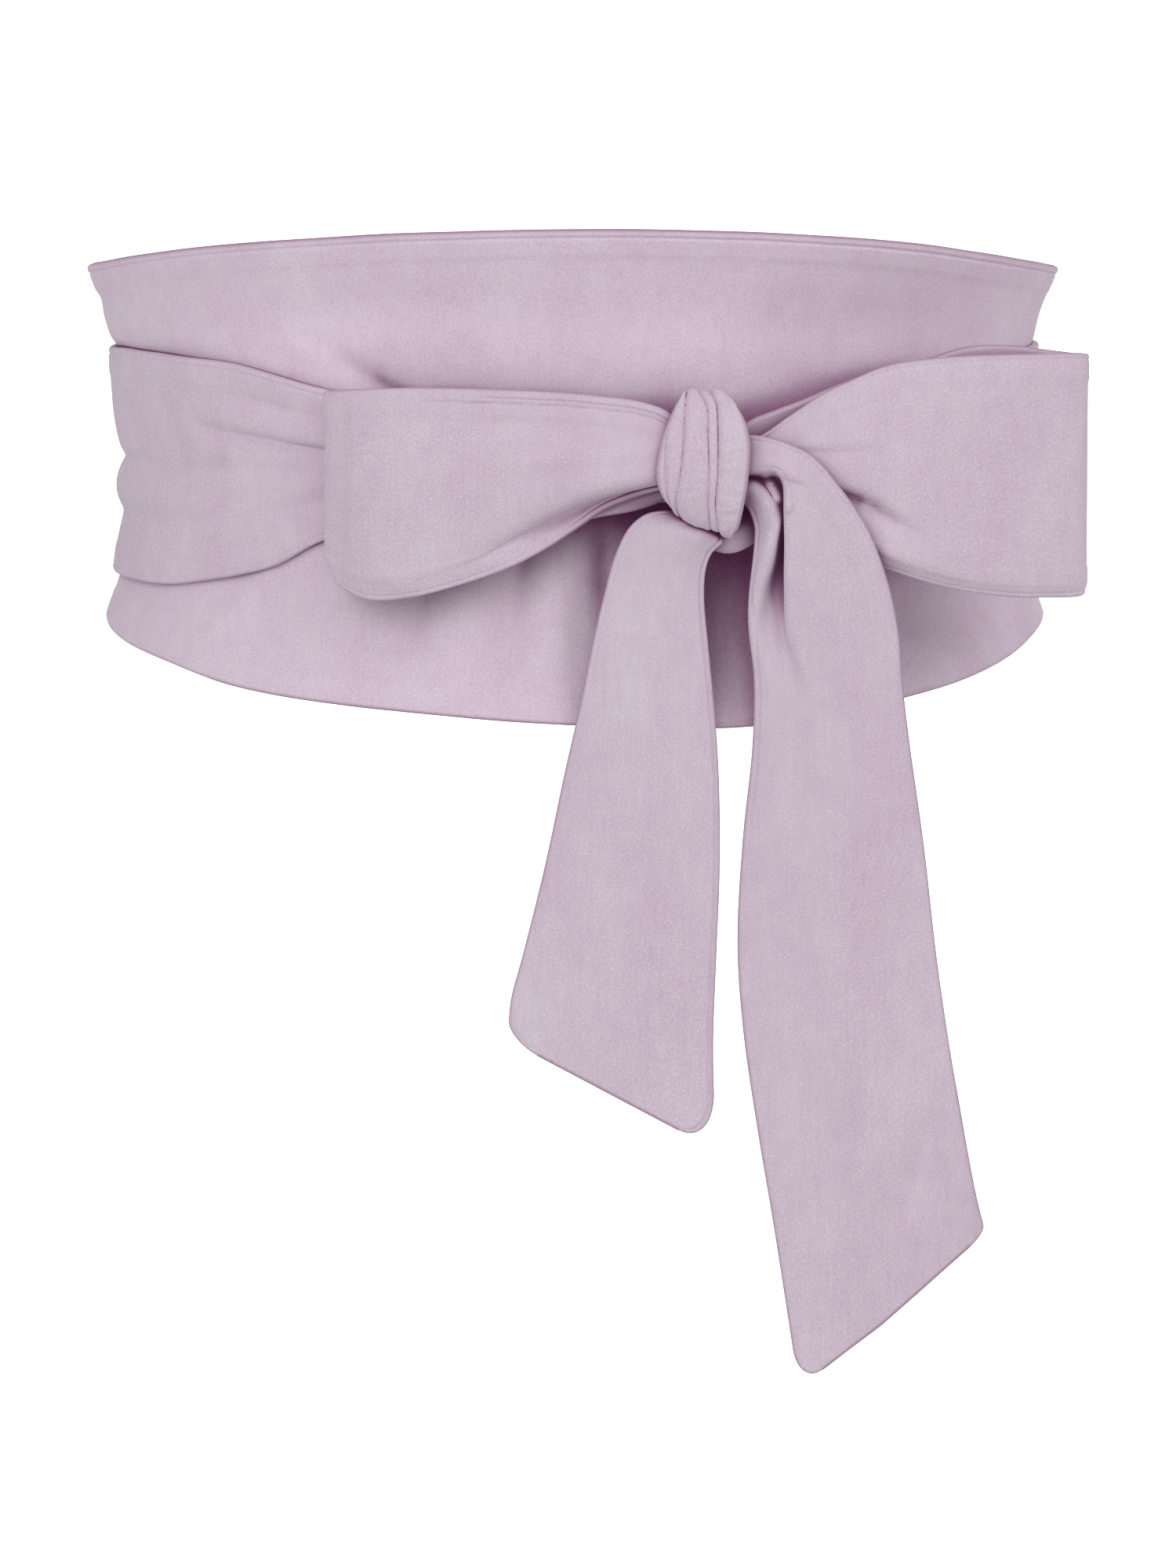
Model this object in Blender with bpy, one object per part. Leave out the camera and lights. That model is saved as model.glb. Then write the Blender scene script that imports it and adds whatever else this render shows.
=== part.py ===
"""Obi belt of microsuede, worn and tied in a bow at the front.

A shaped front panel lies round the waist. A tie starts at each of its ends, the two
cross at the back and come round to the front, and there they are tied: two loops, the
pleated band of the knot, what it is tied round, and two hanging tails.

Frame: the origin is the middle of the waist, +Z is up, the front faces -Y and +X is at
the right of someone who looks at the front. Tables are in millimetres and degrees. An
angle runs round the waist from 0 at the front, by 90 at +X, to 180 at the back.
"""

import bpy
import numpy as np

MM = 0.001

# ---- driving dimensions (millimetres) ----
CLOTH = 2.0  # two layers of suede, sewn together and turned
SEAM_GAP = 0.3  # between pieces that are sewn or lie on each other
WAIST_HALF_WIDTH = 130.5  # of the panel's middle surface, at the waist
WAIST_HALF_DEPTH = 94.0
SIDE_FLARE_ABOVE = 0.0044  # half width gained for each square millimetre of height
SIDE_FLARE_BELOW = 0.0040
FRONT_FLARE = 0.0024
FACET_ROOM = 0.3  # what the flat facets of two curved walls take from a gap between them
ON_PANEL = CLOTH + SEAM_GAP + FACET_ROOM  # from the panel's middle surface to a tie's on it
TAIL_CORNER = 5.0  # radius at the corners of the tails' slanted ends

# ---- colour and finish of the suede ----
SUEDE = (0.56, 0.44, 0.53)
SUEDE_IN_SHADE = (0.50, 0.38, 0.47)
SUEDE_ROUGHNESS = 0.9

# ---- front panel: its height round the waist ----
PANEL_COLUMNS = ("angle", "z_top", "z_bottom")
PANEL = (
    (-144, 37.0, -36.0),
    (-110, 50.0, -42.0),
    (-85, 56.5, -49.5),
    (-71, 58.8, -53.5),
    (-57, 62.0, -57.4),
    (-42, 65.5, -63.0),
    (-20, 69.6, -67.6),
    (0, 71.2, -70.8),
    (20, 70.0, -71.8),
    (40, 66.2, -66.0),
    (53, 62.6, -61.5),
    (63, 59.8, -57.3),
    (75, 57.3, -52.2),
    (90, 55.0, -48.0),
    (110, 50.0, -42.0),
    (144, 37.0, -36.0),
)
# Soft troughs (depth below 0) and ridges, each a line on the panel from one place to
# another, as wide as its width to either side.
PANEL_FOLD_COLUMNS = ("angle_from", "z_from", "angle_to", "z_to", "width", "depth")
PANEL_FOLDS = (
    (-6.5, -16, -8.5, -58, 5.0, -1.8),
    (4.0, -18, 3.0, -60, 4.5, -1.6),
    (-1.5, -18, -3.0, -62, 5.0, 1.2),
    (-14.0, -24, -17.0, -60, 6.0, 1.0),
    (-33.0, 36, -22.5, 22, 5.0, -1.5),
)

# ---- ties round the body: height, distance out from the panel's middle surface, and
# depth of the pleats, from the seam at the panel's end to the knot ----
WRAP_COLUMNS = ("angle", "z_top", "z_bottom", "out", "pleat")
WRAP_LEFT = (
    (144.3, 36.6, -35.6, 0.0, 0.0),
    (158, 24.0, -35.6, 0.0, 0.0),
    (170, 5.0, -35.2, 0.0, 0.2),
    (175, -0.6, -34.8, 0.0, 0.6),
    (180, -1.4, -34.6, 1.4, 0.9),
    (185, -0.6, -34.6, 2.9, 0.9),
    (190, 5.0, -34.6, 3.0, 0.8),
    (202, 24.0, -35.0, 3.0, 0.8),
    (216, 33.0, -35.6, 3.0, 1.0),
    (240, 33.6, -36.0, 2.7, 1.8),
    (270, 32.5, -35.8, ON_PANEL, 2.5),
    (287, 33.4, -36.3, ON_PANEL, 2.0),
    (300, 32.8, -36.0, ON_PANEL, 1.7),
    (307, 32.1, -34.1, ON_PANEL, 1.6),
    (314, 31.0, -31.5, ON_PANEL, 1.8),
    (320, 28.4, -28.0, ON_PANEL, 2.0),
    (327, 24.9, -20.0, ON_PANEL, 2.2),
    (342, 19.5, -13.0, ON_PANEL, 2.2),
    (360, 15.0, -9.0, ON_PANEL, 1.6),
    (375.2, 12.5, -7.0, 4.4, 0.8),
)
WRAP_RIGHT = (
    (215.7, 36.6, -35.6, 0.0, 0.0),
    (202, 36.2, -24.0, 0.0, 0.0),
    (190, 35.4, -5.0, 0.0, 0.2),
    (185, 35.0, 0.6, 0.0, 0.6),
    (180, 34.6, 1.4, 1.4, 0.9),
    (175, 34.6, 0.6, 2.9, 0.9),
    (170, 34.6, -5.0, 3.0, 0.8),
    (158, 35.0, -24.0, 3.0, 0.8),
    (144, 34.8, -33.5, 3.0, 1.0),
    (120, 34.2, -36.0, 2.7, 1.8),
    (90, 33.6, -36.4, ON_PANEL, 2.4),
    (76, 33.0, -36.0, ON_PANEL, 2.2),
    (66, 31.6, -35.0, ON_PANEL, 2.0),
    (54, 30.2, -32.0, ON_PANEL, 1.8),
    (44, 27.0, -25.0, ON_PANEL, 2.0),
    (34, 22.0, -16.0, ON_PANEL, 2.0),
    (24, 16.5, -10.0, ON_PANEL, 1.2),
    (16.6, 12.5, -7.0, 4.4, 0.8),
)
# Pleats across a tie, from its lower edge (0) to its upper (1): where each starts and
# ends, and its height as a share of the pleat depth.
PLEAT_COLUMNS = ("start", "end", "share")
PLEATS = ((0.0, 0.28, 0.5), (0.28, 0.515, 0.95), (0.515, 1.06, 1.0))

# ---- bow loops: a strip from the knot out along the front layer, round the fold at the
# end and back along the rear layer. Each row is a section across the strip, from its
# top edge down the face to the fold line, back into a pocket under it, and out to the
# lower edge, which is drawn in from the rest by its own x at the rounded corner ----
LOOP_COLUMNS = (
    "x", "x_edge", "y_top", "y_face", "y_fold", "y_edge", "z_top", "z_fold", "z_edge",
    "pocket",
)  # fmt: skip
LOOP_LEFT = (
    (31.5, 31.5, -114.0, -116.4, -115.6, -112.8, 15.0, 3.0, 0.0, 0.0),
    (26, 26, -114.4, -117.3, -116.4, -112.2, 20.0, 1.2, -2.0, 0.6),
    (18, 17, -114.2, -117.2, -116.4, -110.6, 22.8, -0.9, -4.6, 1.2),
    (9, 8, -114.0, -117.0, -116.0, -109.6, 24.0, -3.0, -8.2, 2.2),
    (2, 2, -113.6, -116.5, -115.4, -110.2, 24.8, -5.4, -12.6, 2.8),
    (-7, -7, -112.9, -116.0, -114.6, -110.6, 25.4, -9.4, -18.8, 2.2),
    (-17, -17, -111.9, -115.2, -113.6, -110.4, 25.8, -14.6, -24.2, 1.2),
    (-29, -29, -110.2, -113.6, -112.4, -109.2, 26.1, -21.5, -28.6, 0.3),
    (-46, -46, -106.6, -110.4, -109.4, -107.2, 26.1, -27.0, -33.4, 0.0),
    (-59, -58.5, -102.2, -105.8, -105.0, -103.2, 25.5, -28.4, -34.8, 0.0),
    (-67.5, -65.4, -97.4, -100.2, -99.6, -99.4, 24.8, -25.4, -32.0, 0.0),
    (-71.0, -68.6, -94.0, -95.0, -94.8, -95.4, 24.2, -22.6, -29.2, 0.0),
    (-68.5, -66.4, -91.5, -90.8, -91.0, -92.4, 24.2, -24.4, -30.2, 0.0),
    (-59, -58.5, -92.5, -91.4, -91.6, -92.4, 24.8, -26.6, -32.6, 0.0),
    (-46, -46, -97.3, -96.2, -96.4, -97.0, 25.2, -25.6, -31.2, 0.0),
    (-29, -29, -101.2, -100.0, -100.2, -101.0, 25.0, -20.0, -26.0, 0.0),
    (-14, -14, -103.6, -102.6, -102.8, -103.6, 24.4, -13.0, -18.6, 0.0),
    (4, 4, -105.6, -104.8, -105.0, -105.6, 23.0, -6.0, -11.6, 0.0),
    (18, 18, -107.2, -106.8, -106.8, -107.0, 20.6, -3.6, -8.8, 0.0),
    (26, 26, -109.0, -108.8, -108.8, -108.6, 17.6, -1.0, -5.6, 0.0),
    (31.5, 31.5, -110.6, -110.4, -110.4, -110.0, 13.0, 1.0, -1.6, 0.0),
)
LOOP_RIGHT = (
    (44.5, 44.5, -110.8, -111.6, -111.4, -111.0, 9.0, -1.0, -4.0, 0.0),
    (50, 50, -109.8, -110.6, -110.4, -109.8, 11.0, -2.0, -6.0, 0.0),
    (55, 55, -108.9, -109.4, -109.2, -108.4, 13.4, -3.0, -8.4, 0.0),
    (62, 62, -108.8, -109.8, -109.4, -107.8, 18.4, -5.0, -12.4, 0.0),
    (71, 71, -109.6, -111.6, -110.6, -107.2, 24.4, -9.6, -17.6, 0.0),
    (80, 80, -109.6, -112.6, -111.6, -107.4, 28.8, -15.6, -21.8, 0.0),
    (89, 89, -108.4, -111.8, -111.4, -107.8, 32.5, -20.4, -24.8, 0.0),
    (101, 101, -105.6, -108.8, -109.0, -105.8, 34.3, -25.0, -29.0, 0.0),
    (114, 114, -101.2, -104.4, -104.6, -102.0, 35.0, -28.6, -32.4, 0.0),
    (128, 128, -95.6, -98.4, -98.6, -96.6, 35.0, -30.6, -34.5, 0.0),
    (140, 140, -89.8, -91.8, -92.0, -90.6, 35.0, -31.4, -35.2, 0.0),
    (146, 145.6, -86.6, -87.6, -87.8, -87.0, 34.8, -31.4, -35.4, 0.0),
    (147.6, 146.8, -84.6, -84.6, -84.6, -84.6, 34.5, -31.4, -35.0, 0.0),
    (145.6, 145.2, -82.6, -81.8, -81.8, -82.6, 34.4, -31.4, -35.0, 0.0),
    (138, 138, -82.6, -81.0, -81.0, -82.6, 35.3, -31.0, -34.4, 0.0),
    (124, 124, -86.6, -84.8, -84.8, -86.8, 37.1, -28.6, -32.6, 0.0),
    (112, 112, -91.0, -89.2, -89.2, -91.0, 36.6, -25.2, -29.6, 0.0),
    (99, 99, -95.4, -93.6, -93.6, -95.4, 32.8, -20.4, -25.4, 0.0),
    (87, 87, -98.8, -97.4, -97.4, -98.8, 30.4, -16.0, -21.0, 0.0),
    (75, 75, -101.8, -100.6, -100.6, -101.8, 26.4, -11.4, -16.0, 0.0),
    (66, 66, -103.6, -102.8, -102.8, -103.6, 22.6, -7.6, -12.0, 0.0),
    (57, 57, -105.0, -104.4, -104.6, -105.0, 19.3, -4.2, -8.0, 0.0),
    (50, 50, -107.1, -106.8, -106.9, -107.1, 16.4, -1.6, -4.8, 0.0),
    (44.9, 44.9, -108.9, -108.8, -108.8, -108.9, 11.0, 0.0, -3.0, 0.0),
)
# Where a section's top edge, face, fold, pocket and lower edge lie across the strip, and
# how far the pocket is from the fold towards the lower edge.
LOOP_ACROSS = (0, 0.4, 0.78, 0.88, 1)
POCKET_SHARE = 0.35
LAYER_CHANGE = 12  # how quickly the front layer's folds fade at the strip's turn
# Troughs (depth above 0) and ridges on a front layer, from one place to another on it.
LOOP_FOLD_COLUMNS = ("x_from", "z_from", "x_to", "z_to", "width", "depth")
LOOP_RIGHT_FOLDS = (
    (72.0, -1.0, 98.0, -15.5, 3.6, 3.4),
    (62.0, 8.4, 84.0, 8.4, 3.2, 1.2),
)
LOOP_LEFT_FOLDS = ((26.0, 9.6, -14.0, 5.0, 3.6, -1.0),)
# A fold keeps END_SHARE of its depth at its ends and is whole after RAMP_SHARE of its
# length from each.
END_SHARE = 0.55
RAMP_SHARE = 0.26

# ---- knot band: a pleated ring whose axis is X. Each row is a place on its way round,
# from the top over the front, with its left rim and its right rim, and how far its
# strands stand out there, as a share ----
BAND_COLUMNS = ("x_left", "y_left", "z_left", "x_right", "y_right", "z_right", "relief")
BAND = (
    (32.0, -112.0, 22.8, 41.0, -112.0, 23.0, 1.0),
    (28.6, -118.0, 18.8, 46.6, -118.6, 19.6, 1.0),
    (25.2, -120.4, 10.6, 49.0, -121.6, 12.6, 1.0),
    (24.6, -120.8, 2.6, 49.2, -122.0, 2.6, 1.0),
    (26.4, -119.8, -2.8, 48.0, -120.4, -6.8, 1.0),
    (29.8, -116.6, -6.2, 46.4, -117.0, -13.2, 0.9),
    (31.0, -112.0, -6.8, 45.0, -111.6, -12.2, 0.5),
    (31.0, -107.6, -3.6, 44.6, -107.2, -6.6, 0.15),
    (30.8, -105.6, 5.6, 44.6, -105.6, 5.6, 0.1),
    (31.2, -107.0, 16.6, 43.6, -107.0, 16.6, 0.3),
)
BAND_WALL = 2.6  # several strands drawn tight, a little thicker than one
BAND_BULGE = 1.0  # how far the middle of the band stands out from its rims
# Strands of the band, by where their edges lie across it: over the top, at the front
# and at the bottom.
STRAND_EDGES_TOP = (0.0, 0.06, 0.14, 0.36, 0.70, 1.0)
STRAND_EDGES_FRONT = (0.0, 0.12, 0.25, 0.56, 0.65, 1.0)
STRAND_EDGES_BOTTOM = (0.0, 0.05, 0.14, 0.50, 0.66, 1.0)
STRAND_RISE = (0.7, 1.1, 1.4, 0.9, 1.5)

# ---- what the band is tied round: a gathered strand behind it, its lower turn seen
# below the knot ----
CORE_COLUMNS = ("x", "y", "z", "half_width", "half_depth")
CORE = (
    (31.5, -100.6, 14.0, 4.0, 2.4),
    (33.0, -100.7, 6.0, 6.0, 2.7),
    (35.0, -101.0, -4.0, 6.0, 2.8),
    (38.5, -102.0, -12.4, 5.4, 2.9),
    (44.0, -103.6, -16.2, 5.0, 3.4),
    (49.4, -104.0, -13.4, 4.4, 3.0),
    (52.0, -102.8, -6.6, 3.4, 1.7),
    (51.6, -101.6, 1.0, 3.0, 1.6),
    (49.6, -101.0, 8.0, 2.8, 1.5),
)

# ---- tails: each row is a section across the strip, from the knot down to the end.
# The flap, the valley and the crest lie between the two edges ----
TAIL_LEFT_COLUMNS = (
    "x_left", "y_left", "z_left", "x_right", "y_right", "z_right", "crown",
)  # fmt: skip
TAIL_LEFT = (
    (29.6, -110.4, -10.6, 40.4, -110.4, -15.8, 0.6),
    (26.2, -113.4, -9.2, 42.2, -112.6, -17.4, 2.0),
    (20.8, -113.8, -9.8, 41.0, -112.8, -18.4, 3.6),
    (16.2, -113.2, -13.2, 39.2, -112.0, -20.4, 4.2),
    (12.0, -112.2, -21.2, 37.4, -111.4, -25.4, 4.0),
    (9.0, -111.4, -32.0, 37.0, -111.0, -34.0, 3.2),
    (6.0, -110.8, -44.4, 38.0, -110.6, -44.6, 2.6),
    (2.4, -110.2, -62.5, 39.8, -110.2, -62.0, 1.6),
    (-2.6, -109.8, -84.4, 41.4, -109.8, -84.0, 1.0),
    (-8.3, -109.4, -111.4, 41.8, -109.6, -111.0, 0.8),
    (-14.6, -109.2, -137.0, 40.8, -109.6, -139.0, 0.8),
    (-18.0, -109.0, -149.5, 40.0, -109.6, -163.0, 0.6),
    (-18.9, -109.0, -161.0, 40.6, -109.4, -193.6, 0.4),
)
TAIL_RIGHT_COLUMNS = (
    "x_left", "z_left", "y_left", "x_valley", "z_valley", "y_flap", "y_valley",
    "y_crest", "x_right", "z_right", "y_right",
)  # fmt: skip
TAIL_RIGHT = (
    (46.0, -2.0, -114.6, 46.0, 3.0, -115.6, -115.4, -117.4, 46.0, 11.0, -115.6),
    (49.6, -6.2, -112.4, 50.4, 2.0, -114.4, -113.4, -118.0, 50.6, 13.2, -115.4),
    (51.0, -9.6, -112.0, 56.8, 0.6, -114.6, -112.6, -120.4, 59.4, 11.2, -117.0),
    (52.0, -12.8, -112.0, 59.6, -4.4, -114.6, -112.2, -121.2, 68.0, 7.4, -118.4),
    (52.4, -17.0, -111.8, 60.4, -12.0, -114.2, -112.0, -120.8, 76.0, -1.8, -118.6),
    (52.0, -23.6, -111.4, 60.6, -21.0, -113.6, -112.0, -119.8, 83.4, -12.8, -117.4),
    (51.0, -31.0, -111.0, 60.6, -30.4, -112.6, -111.8, -118.2, 89.0, -27.0, -115.2),
    (50.8, -43.0, -110.6, 60.6, -43.0, -112.0, -111.8, -115.8, 92.6, -42.6, -113.2),
    (52.4, -57.0, -110.2, 62.6, -57.0, -111.2, -111.6, -113.6, 93.8, -56.6, -112.0),
    (51.4, -76.0, -109.8, 62.4, -76.0, -110.6, -111.0, -112.0, 96.2, -76.0, -111.0),
    (48.6, -104.0, -109.4, 61.4, -104.4, -110.0, -110.6, -111.2, 100.4, -105.0, -110.2),
    (47.2, -134.6, -109.0, 61.0, -135.6, -109.6, -110.2, -110.8, 104.2, -137.0, -109.8),
    (49.0, -160.0, -109.0, 63.2, -160.4, -109.6, -110.2, -110.6, 107.8, -161.4, -109.6),
    (53.4, -190.0, -109.0, 68.0, -189.2, -109.4, -109.8, -110.2, 112.4, -187.6, -109.4),
    (57.8, -216.0, -109.0, 72.4, -212.4, -109.4, -109.8, -110.0, 115.6, -204.4, -109.4),
    (65.2, -262.8, -109.0, 78.6, -252.2, -109.2, -109.4, -109.6, 119.0, -219.6, -109.2),
)
# Where the edge, flap, valley, crest, slope and edge lie across the right tail, how far
# its crest and its slope are from the valley towards the right edge, and how far the
# slope has dropped from the crest.
TAIL_RIGHT_ACROSS = (0, 0.14, 0.27, 0.42, 0.7, 1)
CREST_SHARE = 0.22
SLOPE_SHARE = 0.55
SLOPE_DROP = 0.45

# ---- how finely each piece is divided: along, across ----
PANEL_GRID = (61, 9)
WRAP_GRID = (53, 9)
LOOP_GRID = (45, 13)
BAND_GRID = (36, 14)
CORE_GRID = (21, 12)
TAIL_LEFT_GRID = (31, 13)
TAIL_RIGHT_GRID = (37, 17)


# ---------------------------------------------------------------- tables and curves


def columns(names, rows):
    """The columns of a table by name."""
    return dict(zip(names, np.array(rows, float).T))


def between(first, second, share):
    """What lies at a share of the way from first to second."""
    return first + (second - first) * share


def smooth(at, values, to, closed=False):
    """A smooth curve through values, one at each of `at`, read at each of `to`: between
    two of them it is a cubic whose end slopes are the mean slopes of the chords beside
    them. A closed curve repeats its first value one step after its last."""
    at, values = np.asarray(at, float), np.asarray(values, float)
    if closed:
        step = at[-1] - at[-2]
        at = np.concatenate([[at[0] - step], at, [at[-1] + step, at[-1] + 2 * step]])
        values = np.concatenate([values[-1:], values, values[:2]])
    slopes = np.gradient(values, at, axis=0)
    to = np.asarray(to, float)
    k = np.clip(np.searchsorted(at, to, side="right") - 1, 0, len(at) - 2)
    span = (at[k + 1] - at[k]).reshape((-1,) + (1,) * (values.ndim - 1))
    t = ((to - at[k]) / (at[k + 1] - at[k])).reshape(span.shape)
    return (
        (2 * t**3 - 3 * t**2 + 1) * values[k]
        + (t**3 - 2 * t**2 + t) * span * slopes[k]
        + (3 * t**2 - 2 * t**3) * values[k + 1]
        + (t**3 - t**2) * span * slopes[k + 1]
    )


def places_along(points):
    """A number for each section of a strip, which grows by the square root of the
    distance between sections, so close sections also get close grid lines."""
    steps = np.linalg.norm(np.diff(points.mean(axis=1), axis=0), axis=1)
    return np.concatenate([[0.0], np.cumsum(np.sqrt(steps))])


def loft(sections, across, grid):
    """A surface through sections[row, point, xyz], whose points lie at `across`."""
    along = places_along(sections)
    rows = smooth(along, sections, np.linspace(along[0], along[-1], grid[0]))
    spread = np.linspace(0, 1, grid[1])
    return smooth(across, rows.transpose(1, 0, 2), spread).transpose(1, 0, 2)


def bump(x, z, fold, x_name, z_name):
    """A fold's height at each place: its depth on a line from its first place to its
    last, falling off sideways as a bell curve and sinking to nothing past both ends."""
    start = np.array([fold[x_name + "_from"], fold[z_name + "_from"]])
    line = np.array([fold[x_name + "_to"], fold[z_name + "_to"]]) - start
    length = np.hypot(*line)
    dx, dz = x - start[0], z - start[1]
    t = (dx * line[0] + dz * line[1]) / length
    side = (dz * line[0] - dx * line[1]) / length
    past = np.maximum(0, np.maximum(-t, t - length))
    inside = np.clip(np.minimum(t, length - t) / (RAMP_SHARE * length), 0, 1)
    fade = np.exp(-((past / fold["width"]) ** 2)) * (END_SHARE + (1 - END_SHARE) * inside)
    return fold["depth"] * np.exp(-((side / fold["width"]) ** 2)) * fade


# ---------------------------------------------------------------- surfaces


def on_body(angle, z, out):
    """Points `out` from the panel's middle surface, along its normal. That surface is an
    ellipse at each height, whose half width and half depth grow with the square of the
    height above or below the waist."""
    flare = np.where(z > 0, SIDE_FLARE_ABOVE, SIDE_FLARE_BELOW)
    half_width, half_depth = (
        WAIST_HALF_WIDTH + flare * z**2,
        WAIST_HALF_DEPTH + FRONT_FLARE * z**2,
    )
    sine, cosine = np.sin(np.radians(angle)), np.cos(np.radians(angle))
    normal = np.stack(
        [
            half_depth * sine,
            -half_width * cosine,
            -2 * z * (half_width * FRONT_FLARE * cosine**2 + half_depth * flare * sine**2),
        ],
        axis=-1,
    )
    normal /= np.linalg.norm(normal, axis=-1, keepdims=True)
    foot = np.stack([half_width * sine, -half_depth * cosine, z], axis=-1)
    return foot + normal * np.asarray(out)[..., None]


def panel_surface():
    """The front panel: heights between its lower and its upper edge at each angle, with
    its soft folds."""
    table = columns(PANEL_COLUMNS, PANEL)
    angle = np.linspace(PANEL[0][0], PANEL[-1][0], PANEL_GRID[0])
    top = smooth(table["angle"], table["z_top"], angle)
    bottom = smooth(table["angle"], table["z_bottom"], angle)
    share = np.linspace(0, 1, PANEL_GRID[1])
    z = bottom[:, None] + (top - bottom)[:, None] * share
    angles = np.broadcast_to(angle[:, None], z.shape)
    out = np.zeros(z.shape)
    for row in PANEL_FOLDS:
        fold = dict(zip(PANEL_FOLD_COLUMNS, row))
        # A degree is about this many millimetres at the front of the waist.
        per_degree = WAIST_HALF_WIDTH * np.pi / 180
        fold["angle_from"] *= per_degree
        fold["angle_to"] *= per_degree
        out += bump(angles * per_degree, z, fold, "angle", "z")
    return on_body(angles, z, out)


def wrap_surface(rows):
    """A tie round the body: heights between its edges at each angle, pleated lengthways.
    A pleat is half a sine wave between the two places across the tie where it starts and
    ends."""
    table = columns(WRAP_COLUMNS, rows)
    steps = np.sqrt(np.abs(np.diff(table["angle"])))
    along = np.concatenate([[0.0], np.cumsum(steps)])
    to = np.linspace(0, along[-1], WRAP_GRID[0])
    angle, top, bottom, out, depth = (
        smooth(along, table[name], to)[:, None] for name in WRAP_COLUMNS
    )
    share = np.linspace(0, 1, WRAP_GRID[1])
    rise = np.zeros(share.shape)
    for start, end, height in PLEATS:
        inside = (share >= start) & (share <= end)
        rise[inside] = height * np.sin(np.pi * (share[inside] - start) / (end - start))
    z = bottom + (top - bottom) * share
    return on_body(np.broadcast_to(angle, z.shape), z, out + np.maximum(depth, 0) * rise)


def loop_surface(rows, folds):
    """A bow loop: a surface through the sections, with troughs in its front layer."""
    c = columns(LOOP_COLUMNS, rows)
    z_face = between(c["z_top"], c["z_fold"], 0.5)
    x_pocket = between(c["x"], c["x_edge"], POCKET_SHARE)
    y_pocket = between(c["y_fold"], c["y_edge"], POCKET_SHARE) + c["pocket"]
    z_pocket = between(c["z_fold"], c["z_edge"], POCKET_SHARE)
    sections = np.stack(
        [
            np.stack([c["x"], c["y_top"], c["z_top"]], axis=-1),
            np.stack([c["x"], c["y_face"], z_face], axis=-1),
            np.stack([c["x"], c["y_fold"], c["z_fold"]], axis=-1),
            np.stack([x_pocket, y_pocket, z_pocket], axis=-1),
            np.stack([c["x_edge"], c["y_edge"], c["z_edge"]], axis=-1),
        ],
        axis=1,
    )
    points = loft(sections, LOOP_ACROSS, LOOP_GRID)
    # The front layer comes first on the strip, up to the section that lies farthest out.
    along = places_along(sections)
    turn = along[np.argmax(np.abs(c["x"] - c["x"][0]))] / along[-1]
    place = np.linspace(0, 1, LOOP_GRID[0])[:, None]
    front = np.clip((turn - place) * LAYER_CHANGE, 0, 1)
    for row in folds:
        fold = dict(zip(LOOP_FOLD_COLUMNS, row))
        points[..., 1] += front * bump(points[..., 0], points[..., 2], fold, "x", "z")
    return points


def band_surface():
    """The knot's band: a closed ring between its two rims, bulging between them, with a
    rounded strand between each two edges."""
    c = columns(BAND_COLUMNS, BAND)
    left = np.stack([c["x_left"], c["y_left"], c["z_left"]], axis=-1)
    right = np.stack([c["x_right"], c["y_right"], c["z_right"]], axis=-1)
    around = np.arange(len(BAND))
    to = np.linspace(0, len(BAND), BAND_GRID[0], endpoint=False)
    left, right = (smooth(around, rim, to, closed=True) for rim in (left, right))
    across = np.linspace(0, 1, BAND_GRID[1])
    points = left[:, None] + (right - left)[:, None] * across[None, :, None]
    centre = points.mean(axis=(0, 1))
    outward = points - centre
    outward[..., 0] = 0
    outward /= np.linalg.norm(outward, axis=-1, keepdims=True)
    # Rows 0, 3 and 6 of the table are the top, the front and the bottom.
    edges = smooth(
        (0, 3, 6, 8, 10),
        (
            STRAND_EDGES_TOP, STRAND_EDGES_FRONT, STRAND_EDGES_BOTTOM,
            STRAND_EDGES_BOTTOM, STRAND_EDGES_TOP,
        ),
        to,
    )  # fmt: skip
    rise = BAND_BULGE * 4 * across * (1 - across) * np.ones((len(to), 1))
    for k, height in enumerate(STRAND_RISE):
        start, end = edges[:, k, None], edges[:, k + 1, None]
        t = np.clip((across - start) / (end - start), 0, 1)
        rise += height * np.sqrt(4 * t * (1 - t))
    relief = smooth(around, c["relief"], to, closed=True)[:, None]
    return points + outward * (rise * relief)[..., None]


def tail_left_surface():
    """The left tail: a strip between its two edges, crowned forward between them, its end
    slanted with rounded corners."""
    c = columns(TAIL_LEFT_COLUMNS, TAIL_LEFT)
    left = np.stack([c["x_left"], c["y_left"], c["z_left"]], axis=-1)
    right = np.stack([c["x_right"], c["y_right"], c["z_right"]], axis=-1)
    middle = between(left, right, 0.5)
    middle[:, 1] -= c["crown"]
    points = loft(np.stack([left, middle, right], axis=1), (0, 0.5, 1), TAIL_LEFT_GRID)
    return round_the_end(points)


def tail_right_surface():
    """The right tail: a strip through its left edge, flap, valley, crest and right edge,
    its end slanted with rounded corners."""
    c = columns(TAIL_RIGHT_COLUMNS, TAIL_RIGHT)
    left = np.stack([c["x_left"], c["y_left"], c["z_left"]], axis=-1)
    valley = np.stack([c["x_valley"], c["y_valley"], c["z_valley"]], axis=-1)
    right = np.stack([c["x_right"], c["y_right"], c["z_right"]], axis=-1)
    flap = between(left, valley, 0.5)
    flap[:, 1] = c["y_flap"]
    crest = between(valley, right, CREST_SHARE)
    crest[:, 1] = c["y_crest"]
    slope = between(valley, right, SLOPE_SHARE)
    slope[:, 1] = between(c["y_crest"], c["y_right"], SLOPE_DROP)
    sections = np.stack([left, flap, valley, crest, slope, right], axis=1)
    points = loft(sections, TAIL_RIGHT_ACROSS, TAIL_RIGHT_GRID)
    return round_the_end(points)


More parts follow.
